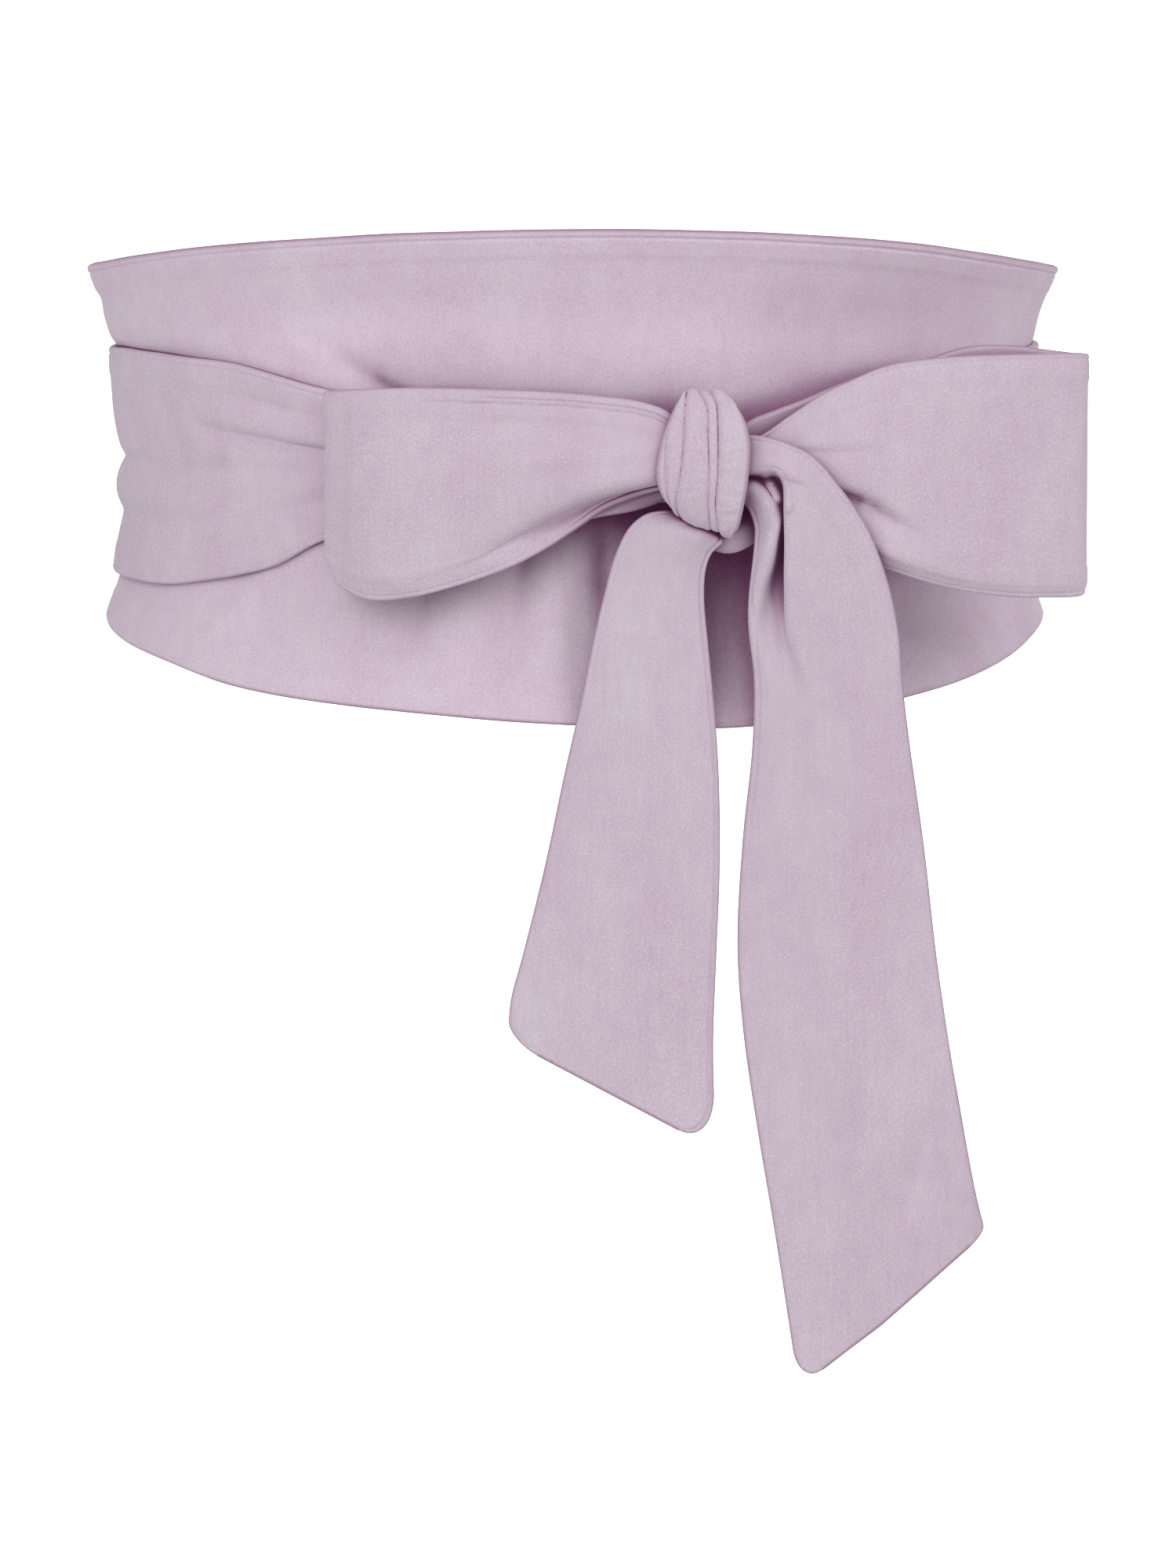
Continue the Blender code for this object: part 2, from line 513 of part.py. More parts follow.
def round_the_end(points):
    """A strip with its last corners rounded: near a side edge, the sections of its last
    stretch draw back along the strip, by what a quarter circle of the corner's radius
    leaves of a square corner."""
    width = np.linalg.norm(points[-1, -1] - points[-1, 0])
    across = np.linspace(0, 1, points.shape[1])
    inset = np.clip(TAIL_CORNER - width * np.minimum(across, 1 - across), 0, TAIL_CORNER)
    drawn = TAIL_CORNER - np.sqrt(TAIL_CORNER**2 - inset**2)
    step = np.linalg.norm(np.diff(points, axis=0), axis=-1)
    to_end = np.concatenate([np.cumsum(step[::-1], axis=0)[::-1], np.zeros((1, step.shape[1]))])
    back = points[-3] - points[-1]
    back /= np.linalg.norm(back, axis=-1, keepdims=True)
    share = np.clip(1 - to_end / (3 * TAIL_CORNER), 0, 1)
    return points + back * (share * drawn)[..., None]


# ---------------------------------------------------------------- solids


def grid_faces(count, around, closed):
    """Quads of a grid whose points are numbered along its rows."""
    rows = np.arange(count if closed else count - 1)
    a = rows[:, None] * around + np.arange(around - 1)
    b = ((rows + 1) % count)[:, None] * around + np.arange(around - 1)
    return np.stack([a, b, b + 1, a + 1], axis=-1).reshape(-1, 4)


def wall(middle, thickness, closed=False):
    """A cloth wall: the middle surface moved half the thickness out and in along its
    normals, and rims that join the two. A closed wall is a ring without end rims."""
    count, around = middle.shape[:2]
    if closed:
        padded = np.concatenate([middle[-1:], middle, middle[:1]])
        along = np.gradient(padded, axis=0)[1:-1]
    else:
        along = np.gradient(middle, axis=0)
    normal = np.cross(along, np.gradient(middle, axis=1))
    normal /= np.linalg.norm(normal, axis=-1, keepdims=True)
    step = normal * thickness / 2
    points = np.concatenate([(middle + step).reshape(-1, 3), (middle - step).reshape(-1, 3)])
    outer = grid_faces(count, around, closed)
    inner = outer[:, ::-1] + count * around
    index = np.arange(count * around).reshape(count, around)
    rims = [(np.append(index[:, 0], index[:1, 0] if closed else []), 1)]
    rims.append((np.append(index[:, -1], index[:1, -1] if closed else []), -1))
    if not closed:
        rims += [(index[0], -1), (index[-1], 1)]
    faces = [outer, inner]
    for rim, side in rims:
        a, b = rim[:-1].astype(int), rim[1:].astype(int)
        quads = np.stack([a, b, b + count * around, a + count * around], axis=-1)
        faces.append(quads[:, ::-side] if side > 0 else quads)
    return points, np.concatenate(faces)


def strand():
    """The strand behind the band: an ellipse carried along a curve that lies nearly
    flat against the panel, with closed ends."""
    c = columns(CORE_COLUMNS, CORE)
    at = np.arange(len(CORE))
    to = np.linspace(0, len(CORE) - 1, CORE_GRID[0])
    path = smooth(at, np.stack([c["x"], c["y"], c["z"]], axis=-1), to)
    half_width = smooth(at, c["half_width"], to)
    half_depth = smooth(at, c["half_depth"], to)
    along = np.gradient(path, axis=0)
    sideways = np.stack([-along[:, 2], 0 * to, along[:, 0]], axis=-1)
    sideways /= np.linalg.norm(sideways, axis=-1, keepdims=True)
    depth = np.array([0.0, 1.0, 0.0])
    turn = np.linspace(0, 2 * np.pi, CORE_GRID[1], endpoint=False)
    points = (
        path[:, None]
        + sideways[:, None] * (half_width[:, None] * np.cos(turn))[..., None]
        + depth * (half_depth[:, None] * np.sin(turn))[..., None]
    )
    count, around = points.shape[:2]
    ring = np.arange(around)
    rows = np.arange(count - 1)[:, None] * around
    following = (ring + 1) % around
    sides = np.stack(
        [rows + ring, rows + following, rows + around + following, rows + around + ring],
        axis=-1,
    ).reshape(-1, 4)
    ends = np.concatenate([points.reshape(-1, 3), [points[0].mean(0), points[-1].mean(0)]])
    last = (count - 1) * around
    caps = [(count * around, b, a) for a, b in zip(ring, following)]
    caps += [(count * around + 1, last + a, last + b) for a, b in zip(ring, following)]
    return ends, [tuple(q) for q in sides] + caps


# ---------------------------------------------------------------- objects


def suede(name, colour):
    """A matt suede material."""
    material = bpy.data.materials.new(name)
    material.use_nodes = True
    shader = material.node_tree.nodes["Principled BSDF"]
    shader.inputs["Base Color"].default_value = (*colour, 1.0)
    shader.inputs["Roughness"].default_value = SUEDE_ROUGHNESS
    shader.inputs["Metallic"].default_value = 0.0
    material.diffuse_color = (*colour, 1.0)
    return material


def add_piece(name, solid, colour):
    """An object from points in millimetres and faces, its faces turned outwards."""
    points, faces = solid
    faces = [tuple(int(i) for i in face) for face in faces]
    mesh = bpy.data.meshes.new(name)
    mesh.from_pydata((np.asarray(points) * MM).tolist(), [], faces)
    mesh.update()
    if volume(points, faces) < 0:
        mesh.flip_normals()
    mesh.materials.append(suede(name, colour))
    piece = bpy.data.objects.new(name, mesh)
    bpy.context.scene.collection.objects.link(piece)
    return piece


def volume(points, faces):
    """Signed volume: below nothing where the faces point inwards."""
    points = np.asarray(points)
    total = 0.0
    for face in faces:
        for second, third in zip(face[1:-1], face[2:]):
            total += np.dot(points[face[0]], np.cross(points[second], points[third]))
    return total / 6


def main():
    for old in list(bpy.data.objects):
        bpy.data.objects.remove(old, do_unlink=True)
    add_piece("front_panel", wall(panel_surface(), CLOTH), SUEDE)
    add_piece("tie_wrap_left", wall(wrap_surface(WRAP_LEFT), CLOTH), SUEDE)
    add_piece("tie_wrap_right", wall(wrap_surface(WRAP_RIGHT), CLOTH), SUEDE)
    add_piece("bow_loop_left", wall(loop_surface(LOOP_LEFT, LOOP_LEFT_FOLDS), CLOTH), SUEDE)
    add_piece("bow_loop_right", wall(loop_surface(LOOP_RIGHT, LOOP_RIGHT_FOLDS), CLOTH), SUEDE)
    add_piece("knot_wrap", wall(band_surface(), BAND_WALL, closed=True), SUEDE)
    add_piece("knot_core", strand(), SUEDE_IN_SHADE)
    add_piece("tail_left", wall(tail_left_surface(), CLOTH), SUEDE)
    add_piece("tail_right", wall(tail_right_surface(), CLOTH), SUEDE)


main()
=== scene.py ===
"""The looks of an obi belt of microsuede, worn and tied in a bow at the front.

Each piece is a wall of two layers of suede, sewn together and turned. Its middle is a
surface worked out from a short table of sections, and a closed section with rounded,
seamed edges is carried along it.

Frame: the origin is the middle of the waist, +Z is up, the front faces -Y and +X is at
the right of someone who looks at the front. Tables are in millimetres and degrees. An
angle runs round the waist from 0 at the front, by 90 at +X, to 180 at the back.
"""

import math
from collections import namedtuple

import bpy
import numpy as np
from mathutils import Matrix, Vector


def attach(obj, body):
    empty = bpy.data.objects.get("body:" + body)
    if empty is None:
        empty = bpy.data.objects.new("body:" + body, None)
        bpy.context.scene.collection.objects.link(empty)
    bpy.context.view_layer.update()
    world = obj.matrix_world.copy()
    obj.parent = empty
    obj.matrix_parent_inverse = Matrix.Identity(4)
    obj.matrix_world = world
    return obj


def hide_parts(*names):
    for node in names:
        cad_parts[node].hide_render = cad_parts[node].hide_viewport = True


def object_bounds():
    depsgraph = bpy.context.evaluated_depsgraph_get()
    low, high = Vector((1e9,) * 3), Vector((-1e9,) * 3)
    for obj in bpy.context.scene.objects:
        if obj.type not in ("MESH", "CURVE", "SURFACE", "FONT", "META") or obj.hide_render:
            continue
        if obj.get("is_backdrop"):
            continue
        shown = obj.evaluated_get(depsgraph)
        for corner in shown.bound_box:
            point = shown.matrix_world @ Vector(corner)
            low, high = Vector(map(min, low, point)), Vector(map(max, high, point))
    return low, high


bl_info = {
    "name": "Obi belt",
    "version": (1, 0, 0),
    "blender": (4, 5, 0),
    "location": "View3D > Sidebar > Obi belt",
    "description": "Builds a suede obi belt tied in a bow, and the studio it stands in",
    "category": "Add Mesh",
}

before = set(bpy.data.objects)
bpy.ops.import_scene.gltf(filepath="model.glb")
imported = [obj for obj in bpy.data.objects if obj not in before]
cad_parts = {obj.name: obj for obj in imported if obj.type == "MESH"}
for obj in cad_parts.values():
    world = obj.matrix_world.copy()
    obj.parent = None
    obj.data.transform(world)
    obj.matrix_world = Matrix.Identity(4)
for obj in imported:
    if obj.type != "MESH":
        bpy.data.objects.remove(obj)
CAD_LOW, CAD_HIGH = (list(corner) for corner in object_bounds())

MM = 0.001

# ---- the worn form: the panel's middle surface (millimetres) ----
WAIST_HALF_WIDTH = 130.5
WAIST_HALF_DEPTH = 94.0
SIDE_FLARE_ABOVE = 0.0044  # half width gained for each square millimetre of height
SIDE_FLARE_BELOW = 0.0040
FRONT_FLARE = 0.0024
ON_PANEL = 2.5  # from the panel's middle surface to that of a tie which lies on it

# ---- front panel: its height round the waist ----
PANEL_COLUMNS = ("angle", "z_top", "z_bottom")
PANEL = (
    (-144, 37, -36),
    (-110, 50, -42),
    (-85, 56.5, -49.5),
    (-71, 58.8, -53.5),
    (-57, 62, -57.4),
    (-42, 65.5, -63),
    (-20, 69.6, -67.6),
    (0, 71.2, -70.8),
    (20, 70, -71.8),
    (40, 66.2, -66),
    (53, 62.6, -61.5),
    (63, 59.8, -57.3),
    (75, 57.3, -52.2),
    (90, 55, -48),
    (110, 50, -42),
    (144, 37, -36),
)

# A fold is a line from one place to another. Its depth is negative for a trough. It
# falls off over one width to the left of that line and another to the right of it, so
# that a fold with one narrow side has a crisp ledge there.
FOLD_END = 0.45  # share of its depth that a fold has at its ends
FOLD_GROWTH = 0.3  # share of its length over which it grows to the whole depth
FOLD_COLUMNS = ("a_from", "z_from", "a_to", "z_to", "left", "right", "depth")
PANEL_FOLDS = (  # a is an angle
    (-6.5, -14, -8.5, -52, 4.6, 4, -3),
    (4, -12, 3.8, -38, 3.6, 4.4, -2),
    (-1.5, -18, -3, -62, 5, 5, 1.6),
    (-13, -24, -15, -60, 5, 5, 1.2),
    (-18.4, -26, -20, -50, 3.2, 3.2, -1.6),
    (-32, 35, -22.5, 22, 3.6, 4.6, -2.2),
    (-36, 38, -27, 27, 4, 4, 1),
    (-9.2, 68, -9, 28, 0.9, 4, -0.25),
    (-36, -34, -45, -56, 5, 5, -1),
    (-42, -32, -50, -52, 4.5, 4.5, 1),
    (-30, -36, -31, -58, 5, 5, 1),
    (-22, -38, -24, -64, 6, 6, -0.8),
    (-36, 47, -10, 50, 6, 6, -0.5),
    (-104, 36, -62, 38, 17, 4.4, 2.3),
    (-94, 46, -70, 47, 3, 3, -0.7),
    (24, 44, 52, 42, 8, 7, -0.6),
    (44, -44, 58, -48, 5, 6, -0.6),
    (96, 40, 104, -26, 7, 9, -0.9),
    (64, 34, 106, 34, 6, 3.6, 1.1),
    (122, 38, 116, -30, 8, 6, 0.9),
    (-100, 42, -106, -30, 8, 7, 0.9),
    (-124, 36, -118, -28, 6, 8, -0.9),
)

# ---- ties round the body: height, distance out from the panel's middle surface, and
# depth of the pleats, from the seam at the panel's end to the knot ----
WRAP_COLUMNS = ("angle", "z_top", "z_bottom", "out", "pleat")
WRAP_LEFT = (
    (144.3, 36.6, -35.6, 0, 0),
    (158, 24, -35.6, 0, 0),
    (170, 5, -35.2, 0, 0.2),
    (175, -0.6, -34.8, 0, 0.6),
    (180, -1.4, -34.6, 1.4, 0.9),
    (185, -0.6, -34.6, 2.9, 0.9),
    (190, 5, -34.6, 3, 0.8),
    (202, 24, -35, 3, 0.8),
    (216, 33, -35.6, 3, 1),
    (240, 33.6, -36, 2.7, 1.8),
    (270, 32.5, -35.8, ON_PANEL, 3.5),
    (287, 33.4, -36.3, ON_PANEL, 2.3),
    (300, 32.8, -36, ON_PANEL, 1.4),
    (307, 32.1, -34.1, ON_PANEL, 1.2),
    (314, 31, -31.5, ON_PANEL, 1.3),
    (320, 28.4, -28, ON_PANEL, 1.5),
    (327, 24.9, -20, ON_PANEL, 1.8),
    (342, 19.5, -13, ON_PANEL, 2.2),
    (360, 15, -9, ON_PANEL, 1.6),
    (375.2, 12.5, -7, 4.4, 0.8),
)
WRAP_RIGHT = (
    (215.7, 36.6, -35.6, 0, 0),
    (202, 36.2, -24, 0, 0),
    (190, 35.4, -5, 0, 0.2),
    (185, 35, 0.6, 0, 0.6),
    (180, 34.6, 1.4, 1.4, 0.9),
    (175, 34.6, 0.6, 2.9, 0.9),
    (170, 34.6, -5, 3, 0.8),
    (158, 35, -24, 3, 0.8),
    (144, 34.8, -33.5, 3, 1),
    (120, 34.2, -36, 2.7, 1.8),
    (90, 33.6, -36.4, ON_PANEL, 1),
    (76, 33, -36, ON_PANEL, 0.8),
    (66, 31.6, -35, ON_PANEL, 1),
    (54, 30.2, -32, ON_PANEL, 1.8),
    (44, 27, -25, ON_PANEL, 2),
    (34, 22, -16, ON_PANEL, 2),
    (24, 16.5, -10, ON_PANEL, 1.2),
    (16.6, 12.5, -7, 4.4, 0.8),
)
# Pleats across a tie, from its lower edge (0) to its upper (1): where each starts and
# ends, its height as a share of the pleat depth, and how far its highest place leans
# towards its start (1 is the middle, less leans more).
PLEATS = ((0.0, 0.28, 0.2, 1.0), (0.28, 0.515, 1.05, 0.9), (0.515, 1.06, 1.1, 0.62))
PLEAT_ROUND = 0.75  # power that makes a pleat rounder and the creases between sharper
WRAP_LEFT_FOLDS = (  # a is an angle
    (308, 12.4, 332, 6.4, 0.7, 4.6, -2.5),
    (306, 15.4, 332, 8.8, 4, 1.6, 0.7),
    (312, 22, 332, 15, 3.4, 3, -0.9),
    (292, -7.5, 320, -9.5, 3, 2.6, -0.6),
    (300, -0.5, 316, -2, 2.6, 3, -0.35),
    (310, -20, 330, -12, 3, 3, 0.6),
    (262, 5.5, 250, 8, 1.2, 4, -1),
    (264, -13.5, 244, -10, 3.5, 1.2, -1),
    (240, 18, 214, 8, 3, 4, -0.8),
    (236, -22, 206, -18, 4, 2, -0.8),
    (228, -4, 200, -10, 1.5, 4, -0.9),
)
WRAP_RIGHT_FOLDS = (
    (66, 8, 46, 4, 2, 4, -0.8),
    (98, 6, 118, 9, 1.2, 4, -1),
    (98, -14, 122, -10, 3.5, 1.2, -1),
    (120, 20, 146, 12, 3, 4, -0.8),
    (124, -22, 150, -14, 4, 2, -0.7),
    (132, 0, 160, 6, 1.5, 4, -0.9),
)

# ---- bow loops: a strip from the knot out along the front layer, round the fold at the
# end and back along the rear layer. Each row is a section across the strip, from its
# top edge down the face to the fold line, back into a pocket under it, and out to the
# lower edge, which is drawn in from the rest by its own x at the rounded corner ----
LOOP_COLUMNS = (
    "x", "x_edge", "y_top", "y_face", "y_fold", "y_edge", "z_top", "z_fold", "z_edge",
    "pocket",
)
LOOP_LEFT = (
    (31.5, 31.5, -114, -116.4, -115.6, -112.8, 15, 3, 0, 0),
    (26, 26, -114.4, -117.3, -116.4, -112.2, 20, 1.2, -2, 2),
    (18, 17, -114.2, -117.4, -116.8, -110.6, 22.8, -0.9, -4.8, 4.4),
    (9, 8, -114, -117.4, -116.8, -109.8, 24, -3, -8.6, 5.4),
    (2, 2, -113.6, -117, -116.2, -110.2, 24.8, -5.4, -12.8, 5.2),
    (-7, -7, -112.9, -116.4, -115.2, -110.6, 25.4, -9.4, -18.8, 3.8),
    (-17, -17, -111.9, -115.4, -113.8, -110.4, 25.8, -14.6, -24.2, 1.8),
    (-29, -29, -110.2, -113.6, -112.4, -109.2, 26.1, -21.5, -28.6, 0.3),
    (-46, -46, -106.6, -110.4, -109.4, -107.2, 26.1, -27, -33.4, 0),
    (-59, -58.5, -102.2, -105.8, -105, -103.2, 25.5, -28.4, -34.8, 0),
    (-67.5, -65.4, -97.4, -100.2, -99.6, -99.4, 24.8, -25.4, -32, 0),
    (-71, -68.6, -94, -95, -94.8, -95.4, 24.2, -22.6, -29.2, 0),
    (-68.5, -66.4, -91.5, -90.8, -91, -92.4, 24.2, -24.4, -30.2, 0),
    (-59, -58.5, -92.5, -91.4, -91.6, -92.4, 24.8, -26.6, -32.6, 0),
    (-46, -46, -97.3, -96.2, -96.4, -97, 25.2, -25.6, -31.2, 0),
    (-29, -29, -101.2, -100, -100.2, -101, 25, -20, -26, 0),
    (-14, -14, -103.6, -102.6, -102.8, -103.6, 24.4, -13, -18.6, 0),
    (4, 4, -105.6, -104.8, -105, -105.6, 23, -6, -11.6, 0),
    (18, 18, -107.2, -106.8, -106.8, -107, 20.6, -3.6, -8.8, 0),
    (26, 26, -109, -108.8, -108.8, -108.6, 17.6, -1, -5.6, 0),
    (31.5, 31.5, -110.6, -110.4, -110.4, -110, 13, 1, -1.6, 0),
)
LOOP_RIGHT = (
    (44.5, 44.5, -110.8, -111.6, -111.4, -111, 9, -1, -4, 0),
    (50, 50, -110.4, -112.2, -111, -109.8, 11, -2, -6, 0),
    (55, 55, -110.8, -112.9, -111, -108.4, 13.4, -3, -8.4, 0),
    (62, 62, -111, -114.2, -111.6, -107.8, 18.4, -5, -12.4, 0),
    (71, 71, -110.8, -114.9, -112.2, -107.2, 24.4, -9.6, -17.6, 0),
    (80, 80, -110.2, -114, -112, -107.4, 28.8, -15.6, -21.8, 0),
    (89, 89, -108.4, -111.8, -111.4, -107.8, 32.5, -20.4, -24.8, 0),
    (101, 101, -105.6, -108.8, -109, -105.8, 34.3, -25, -29, 0),
    (114, 114, -101.2, -104.4, -104.6, -102, 35, -28.6, -32.4, 0),
    (128, 128, -95.6, -98.4, -98.6, -96.6, 35, -30.6, -34.5, 0),
    (140, 140, -89.8, -91.8, -92, -90.6, 35, -31.4, -35.2, 0),
    (146, 145.6, -86.6, -87.6, -87.8, -87, 34.8, -31.4, -35.4, 0),
    (147.6, 146.8, -84.6, -84.6, -84.6, -84.6, 34.5, -31.4, -35, 0),
    (145.6, 145.2, -82.6, -81.8, -81.8, -82.6, 34.4, -31.4, -35, 0),
    (138, 138, -82.6, -81, -81, -82.6, 35.3, -31, -34.4, 0),
    (124, 124, -86.6, -84.8, -84.8, -86.8, 37.1, -28.6, -32.6, 0),
    (112, 112, -91, -89.2, -89.2, -91, 36.6, -25.2, -29.6, 0),
    (99, 99, -95.4, -93.6, -93.6, -95.4, 32.8, -20.4, -25.4, 0),
    (87, 87, -98.8, -97.4, -97.4, -98.8, 30.4, -16, -21, 0),
    (75, 75, -101.8, -100.6, -100.6, -101.8, 26.4, -11.4, -16, 0),
    (66, 66, -103.6, -102.8, -102.8, -103.6, 22.6, -7.6, -12, 0),
    (57, 57, -105, -104.4, -104.6, -105, 19.3, -4.2, -8, 0),
    (50, 50, -107.1, -106.8, -106.9, -107.1, 16.4, -1.6, -4.8, 0),
    (44.9, 44.9, -108.9, -108.8, -108.8, -108.9, 11, 0, -3, 0),
)
# Where a section's top edge, face, fold, pocket and lower edge lie across the strip, and
# how far the pocket is from the fold towards the lower edge.
LOOP_ACROSS = (0, 0.4, 0.77, 0.85, 1)
POCKET_SHARE = 0.14
FRONT_FADE = 1 / 12  # share of the strip over which the front layer's folds end at the turn
REAR_WAVES = 0.2  # how much of the soft waves the rear layer has
WAVES_FROM = 0.4  # and how soon after the turn the front layer has more
LOOP_LEFT_FOLDS = (  # a is x
    (27, 10, -17, 5.4, 3, 1.8, 1.2),
    (-36, 17, 16, 14, 4, 4.4, -0.8),
    (2, -8, -34, -24, 2.4, 3.2, -0.9),
    (-65, 22, -65.8, -23, 1.6, 3, -0.8),
    (-69.4, 22, -69.6, -22, 1.4, 1.6, 0.5),
    (-58, -27, -40, -30, 3, 4, 0.5),
)
LOOP_RIGHT_FOLDS = (
    (74, -3, 84, -5.4, 0.8, 5, -2.6),
    (82, -4.8, 96, -13.4, 0.8, 5, -2.4),
    (64, 8.8, 86, 8.6, 0.8, 3.2, -0.6),
    (84, 20, 130, 26, 6, 6, 0.5),
    (92, -20, 130, -25, 4, 5, 0.6),
    (106, 2, 138, 4, 8, 7, -0.5),
)

# ---- knot band: a pleated ring whose axis is X. Each row is a place on its way round,
# from the top over the front, with its two rims, the lines between its strands from the
# left to the right, and how far the strands stand out there, as a share ----
BAND_COLUMNS = (
    "y_left", "z_left", "y_right", "z_right", "x_left", "x_1", "x_2", "x_3", "x_4", "x_right",
    "relief",
)
BAND = (
    (-112, 22.6, -112, 22.6, 31, 31.8, 32.8, 35.4, 38.2, 41, 0.7),
    (-117.4, 19.6, -118, 19.6, 28.2, 28.8, 31.8, 37.8, 40.6, 47, 1),
    (-120, 11.6, -120.8, 12.6, 25, 26.5, 31.4, 38.1, 41, 49.8, 1),
    (-120.6, 3, -121.4, 2.8, 23.5, 26.3, 30.4, 38.4, 40.9, 49.6, 1),
    (-119.4, -2.8, -120, -6.6, 25.2, 27.4, 29.4, 38.3, 40.4, 48.2, 1),
    (-116.6, -6.4, -116.8, -12.8, 29, 30, 31.2, 39.4, 41.8, 46.8, 0.9),
    (-112, -7, -111.6, -12.4, 31, 32, 33.4, 40.6, 42.8, 45.4, 0.5),
    (-107.6, -3.8, -107.2, -6.6, 31, 32.6, 34.4, 40, 42, 44.6, 0.15),
    (-105.6, 5.6, -105.6, 5.6, 30.8, 32.6, 34.6, 39.6, 41.8, 44.6, 0.1),
    (-107, 16.6, -107, 16.6, 31.2, 32.6, 34.2, 38.4, 40.8, 43.4, 0.3),
)
BAND_LINES = ("x_left", "x_1", "x_2", "x_3", "x_4", "x_right")
BAND_BULGE = 0.8  # how far the middle of the band stands out from its rims
STRAND_RISE = (0.7, 1.3, 1.9, 1.0, 2.2)  # how far each strand does, from left to right
STRAND_FLATNESS = 2.5  # 2 is an ellipse, and more has a flatter top and steeper sides
CREASE_SHARE = 0.3  # how high the band's fine creases are, as a share of the cloth's waves
CREASE_STRETCH = (0.4, 2.2)  # they run across the strands, so x counts less than z

# ---- what the band is tied round: a gathered strand behind it, its lower turn seen
# below the knot ----
CORE_COLUMNS = ("x", "y", "z", "half_width", "half_depth")
CORE = (
    (31.5, -100.6, 14, 4, 2.4),
    (33, -100.7, 6, 6, 2.7),
    (35, -101, -4, 6, 2.8),
    (38.5, -103, -12.6, 5.6, 2.9),
    (44, -105.8, -16.3, 5.4, 3.6),
    (50, -106, -13.4, 4.8, 3.2),
    (52.4, -103.6, -6.6, 3.6, 2),
    (51.6, -101.6, 1, 3, 1.6),
    (49.6, -101, 8, 2.8, 1.5),
)
FLUTES = 5  # round the strand
FLUTE_DEPTH = 0.07  # as a share of the strand's thickness
FLUTE_TURN = 0.4
DOME_LENGTH = 0.5  # of its rounded ends, in rows
DOME_TIP = 0.02  # least value of the circle's formula there, so that no section is a point

# ---- tails: each row is a section across the strip, from the knot down to the end.
# The flap, the valley and the crest lie between the two edges ----
TAIL_LEFT_COLUMNS = (
    "x_left", "y_left", "z_left", "x_right", "y_right", "z_right", "crown",
)
TAIL_LEFT = (
    (29.6, -110.4, -10.6, 40.4, -110.4, -15.8, 0.6),
    (26.2, -113.4, -9.2, 42.2, -112.6, -17.4, 2),
    (20.8, -113.8, -9.8, 41, -112.8, -18.4, 3.6),
    (16.2, -113.2, -13.2, 39.2, -112, -20.4, 4.2),
    (12, -112.2, -21.2, 37.4, -111.4, -25.4, 4),
    (9, -111.4, -32, 37, -111, -34, 3.2),
    (6, -110.8, -44.4, 38, -110.6, -44.6, 2.6),
    (2.4, -110.2, -62.5, 39.8, -110.2, -62, 1.6),
    (-2.6, -109.8, -84.4, 41.4, -109.8, -84, 1),
    (-8.3, -109.4, -111.4, 41.8, -109.6, -111, 0.8),
    (-14.6, -109.2, -137, 40.8, -109.6, -139, 0.8),
    (-18, -109, -149.5, 40, -109.6, -163, 0.6),
    (-18.9, -109, -160.8, 40.6, -109.4, -192.6, 0.4),
)
TAIL_RIGHT_COLUMNS = (
    "x_left", "z_left", "y_left", "x_flap", "z_flap", "y_flap", "x_valley", "z_valley",
    "y_valley", "x_crest", "z_crest", "y_crest", "x_right", "z_right", "y_right",
)
TAIL_RIGHT = (
    (45.6, -4, -112.6, 46.2, -2, -114.6, 46.6, 1.4, -113, 46.4, 3, -116,
     46, 12, -115.4),
    (49, -6.4, -112.4, 51.2, -0.6, -115.4, 54.4, 1.2, -110.6, 52, 3.4, -117,
     50.6, 13.2, -115.4),
    (50.9, -9.4, -112.8, 56.2, -4.8, -116.2, 60.6, -1.4, -109.6, 57.6, 3.6, -118.6,
     59.4, 11.4, -117),
    (52, -13.4, -113.2, 58.7, -9.6, -116.4, 63.2, -7, -108.6, 60.2, 0, -118.8,
     68, 7.4, -118.4),
    (52, -18, -113.2, 57.5, -16.2, -116, 64, -13.6, -107.8, 60.6, -8, -118.6,
     76, -1.8, -118.6),
    (51.5, -23.6, -112.8, 56.2, -22.8, -115.2, 64, -21.4, -107.8, 60.9, -17.6, -117.6,
     83.4, -12.8, -117.4),
    (50.8, -31, -112.2, 53.6, -31, -113.8, 63, -30.6, -108.8, 60.9, -28.6, -116.6,
     89, -27, -115.2),
    (50.5, -43, -111.2, 52.6, -43, -112, 60, -43, -110.6, 62, -43, -114.2,
     92.6, -42.6, -113.2),
    (51.8, -57, -110.2, 56.6, -57, -111.8, 62.6, -57, -111.4, 67, -57, -112.8,
     93.8, -56.6, -112),
    (51.4, -76, -109.8, 56.8, -76, -110.8, 62.4, -76, -111, 69, -76, -111.8,
     96.2, -76, -111),
    (48.6, -104, -109.4, 54.8, -104.2, -110.2, 61.4, -104.4, -110.6, 69, -104.6, -111,
     100.4, -105, -110.2),
    (47.2, -134.6, -109, 54.2, -135.2, -109.8, 61, -135.6, -110.2, 69.6, -136, -110.6,
     104.2, -137, -109.8),
    (49, -160, -109, 56, -160.2, -109.6, 63.2, -160.4, -110.2, 72, -160.6, -110.4,
     107.8, -161.4, -109.6),
    (53.4, -190, -109, 60.6, -189.6, -109.4, 68, -189.2, -109.8, 77, -188.9, -110.2,
     112.4, -187.6, -109.4),
    (57.8, -216, -109, 65.2, -214.4, -109.4, 72.4, -212.8, -109.8, 81.6, -210.8, -110,
     115.6, -204.4, -109.4),
    (65.2, -262.8, -109, 72, -257.4, -109.2, 78.6, -252.2, -109.4, 88, -244.9, -109.6,
     118.6, -217.4, -109.2),
)
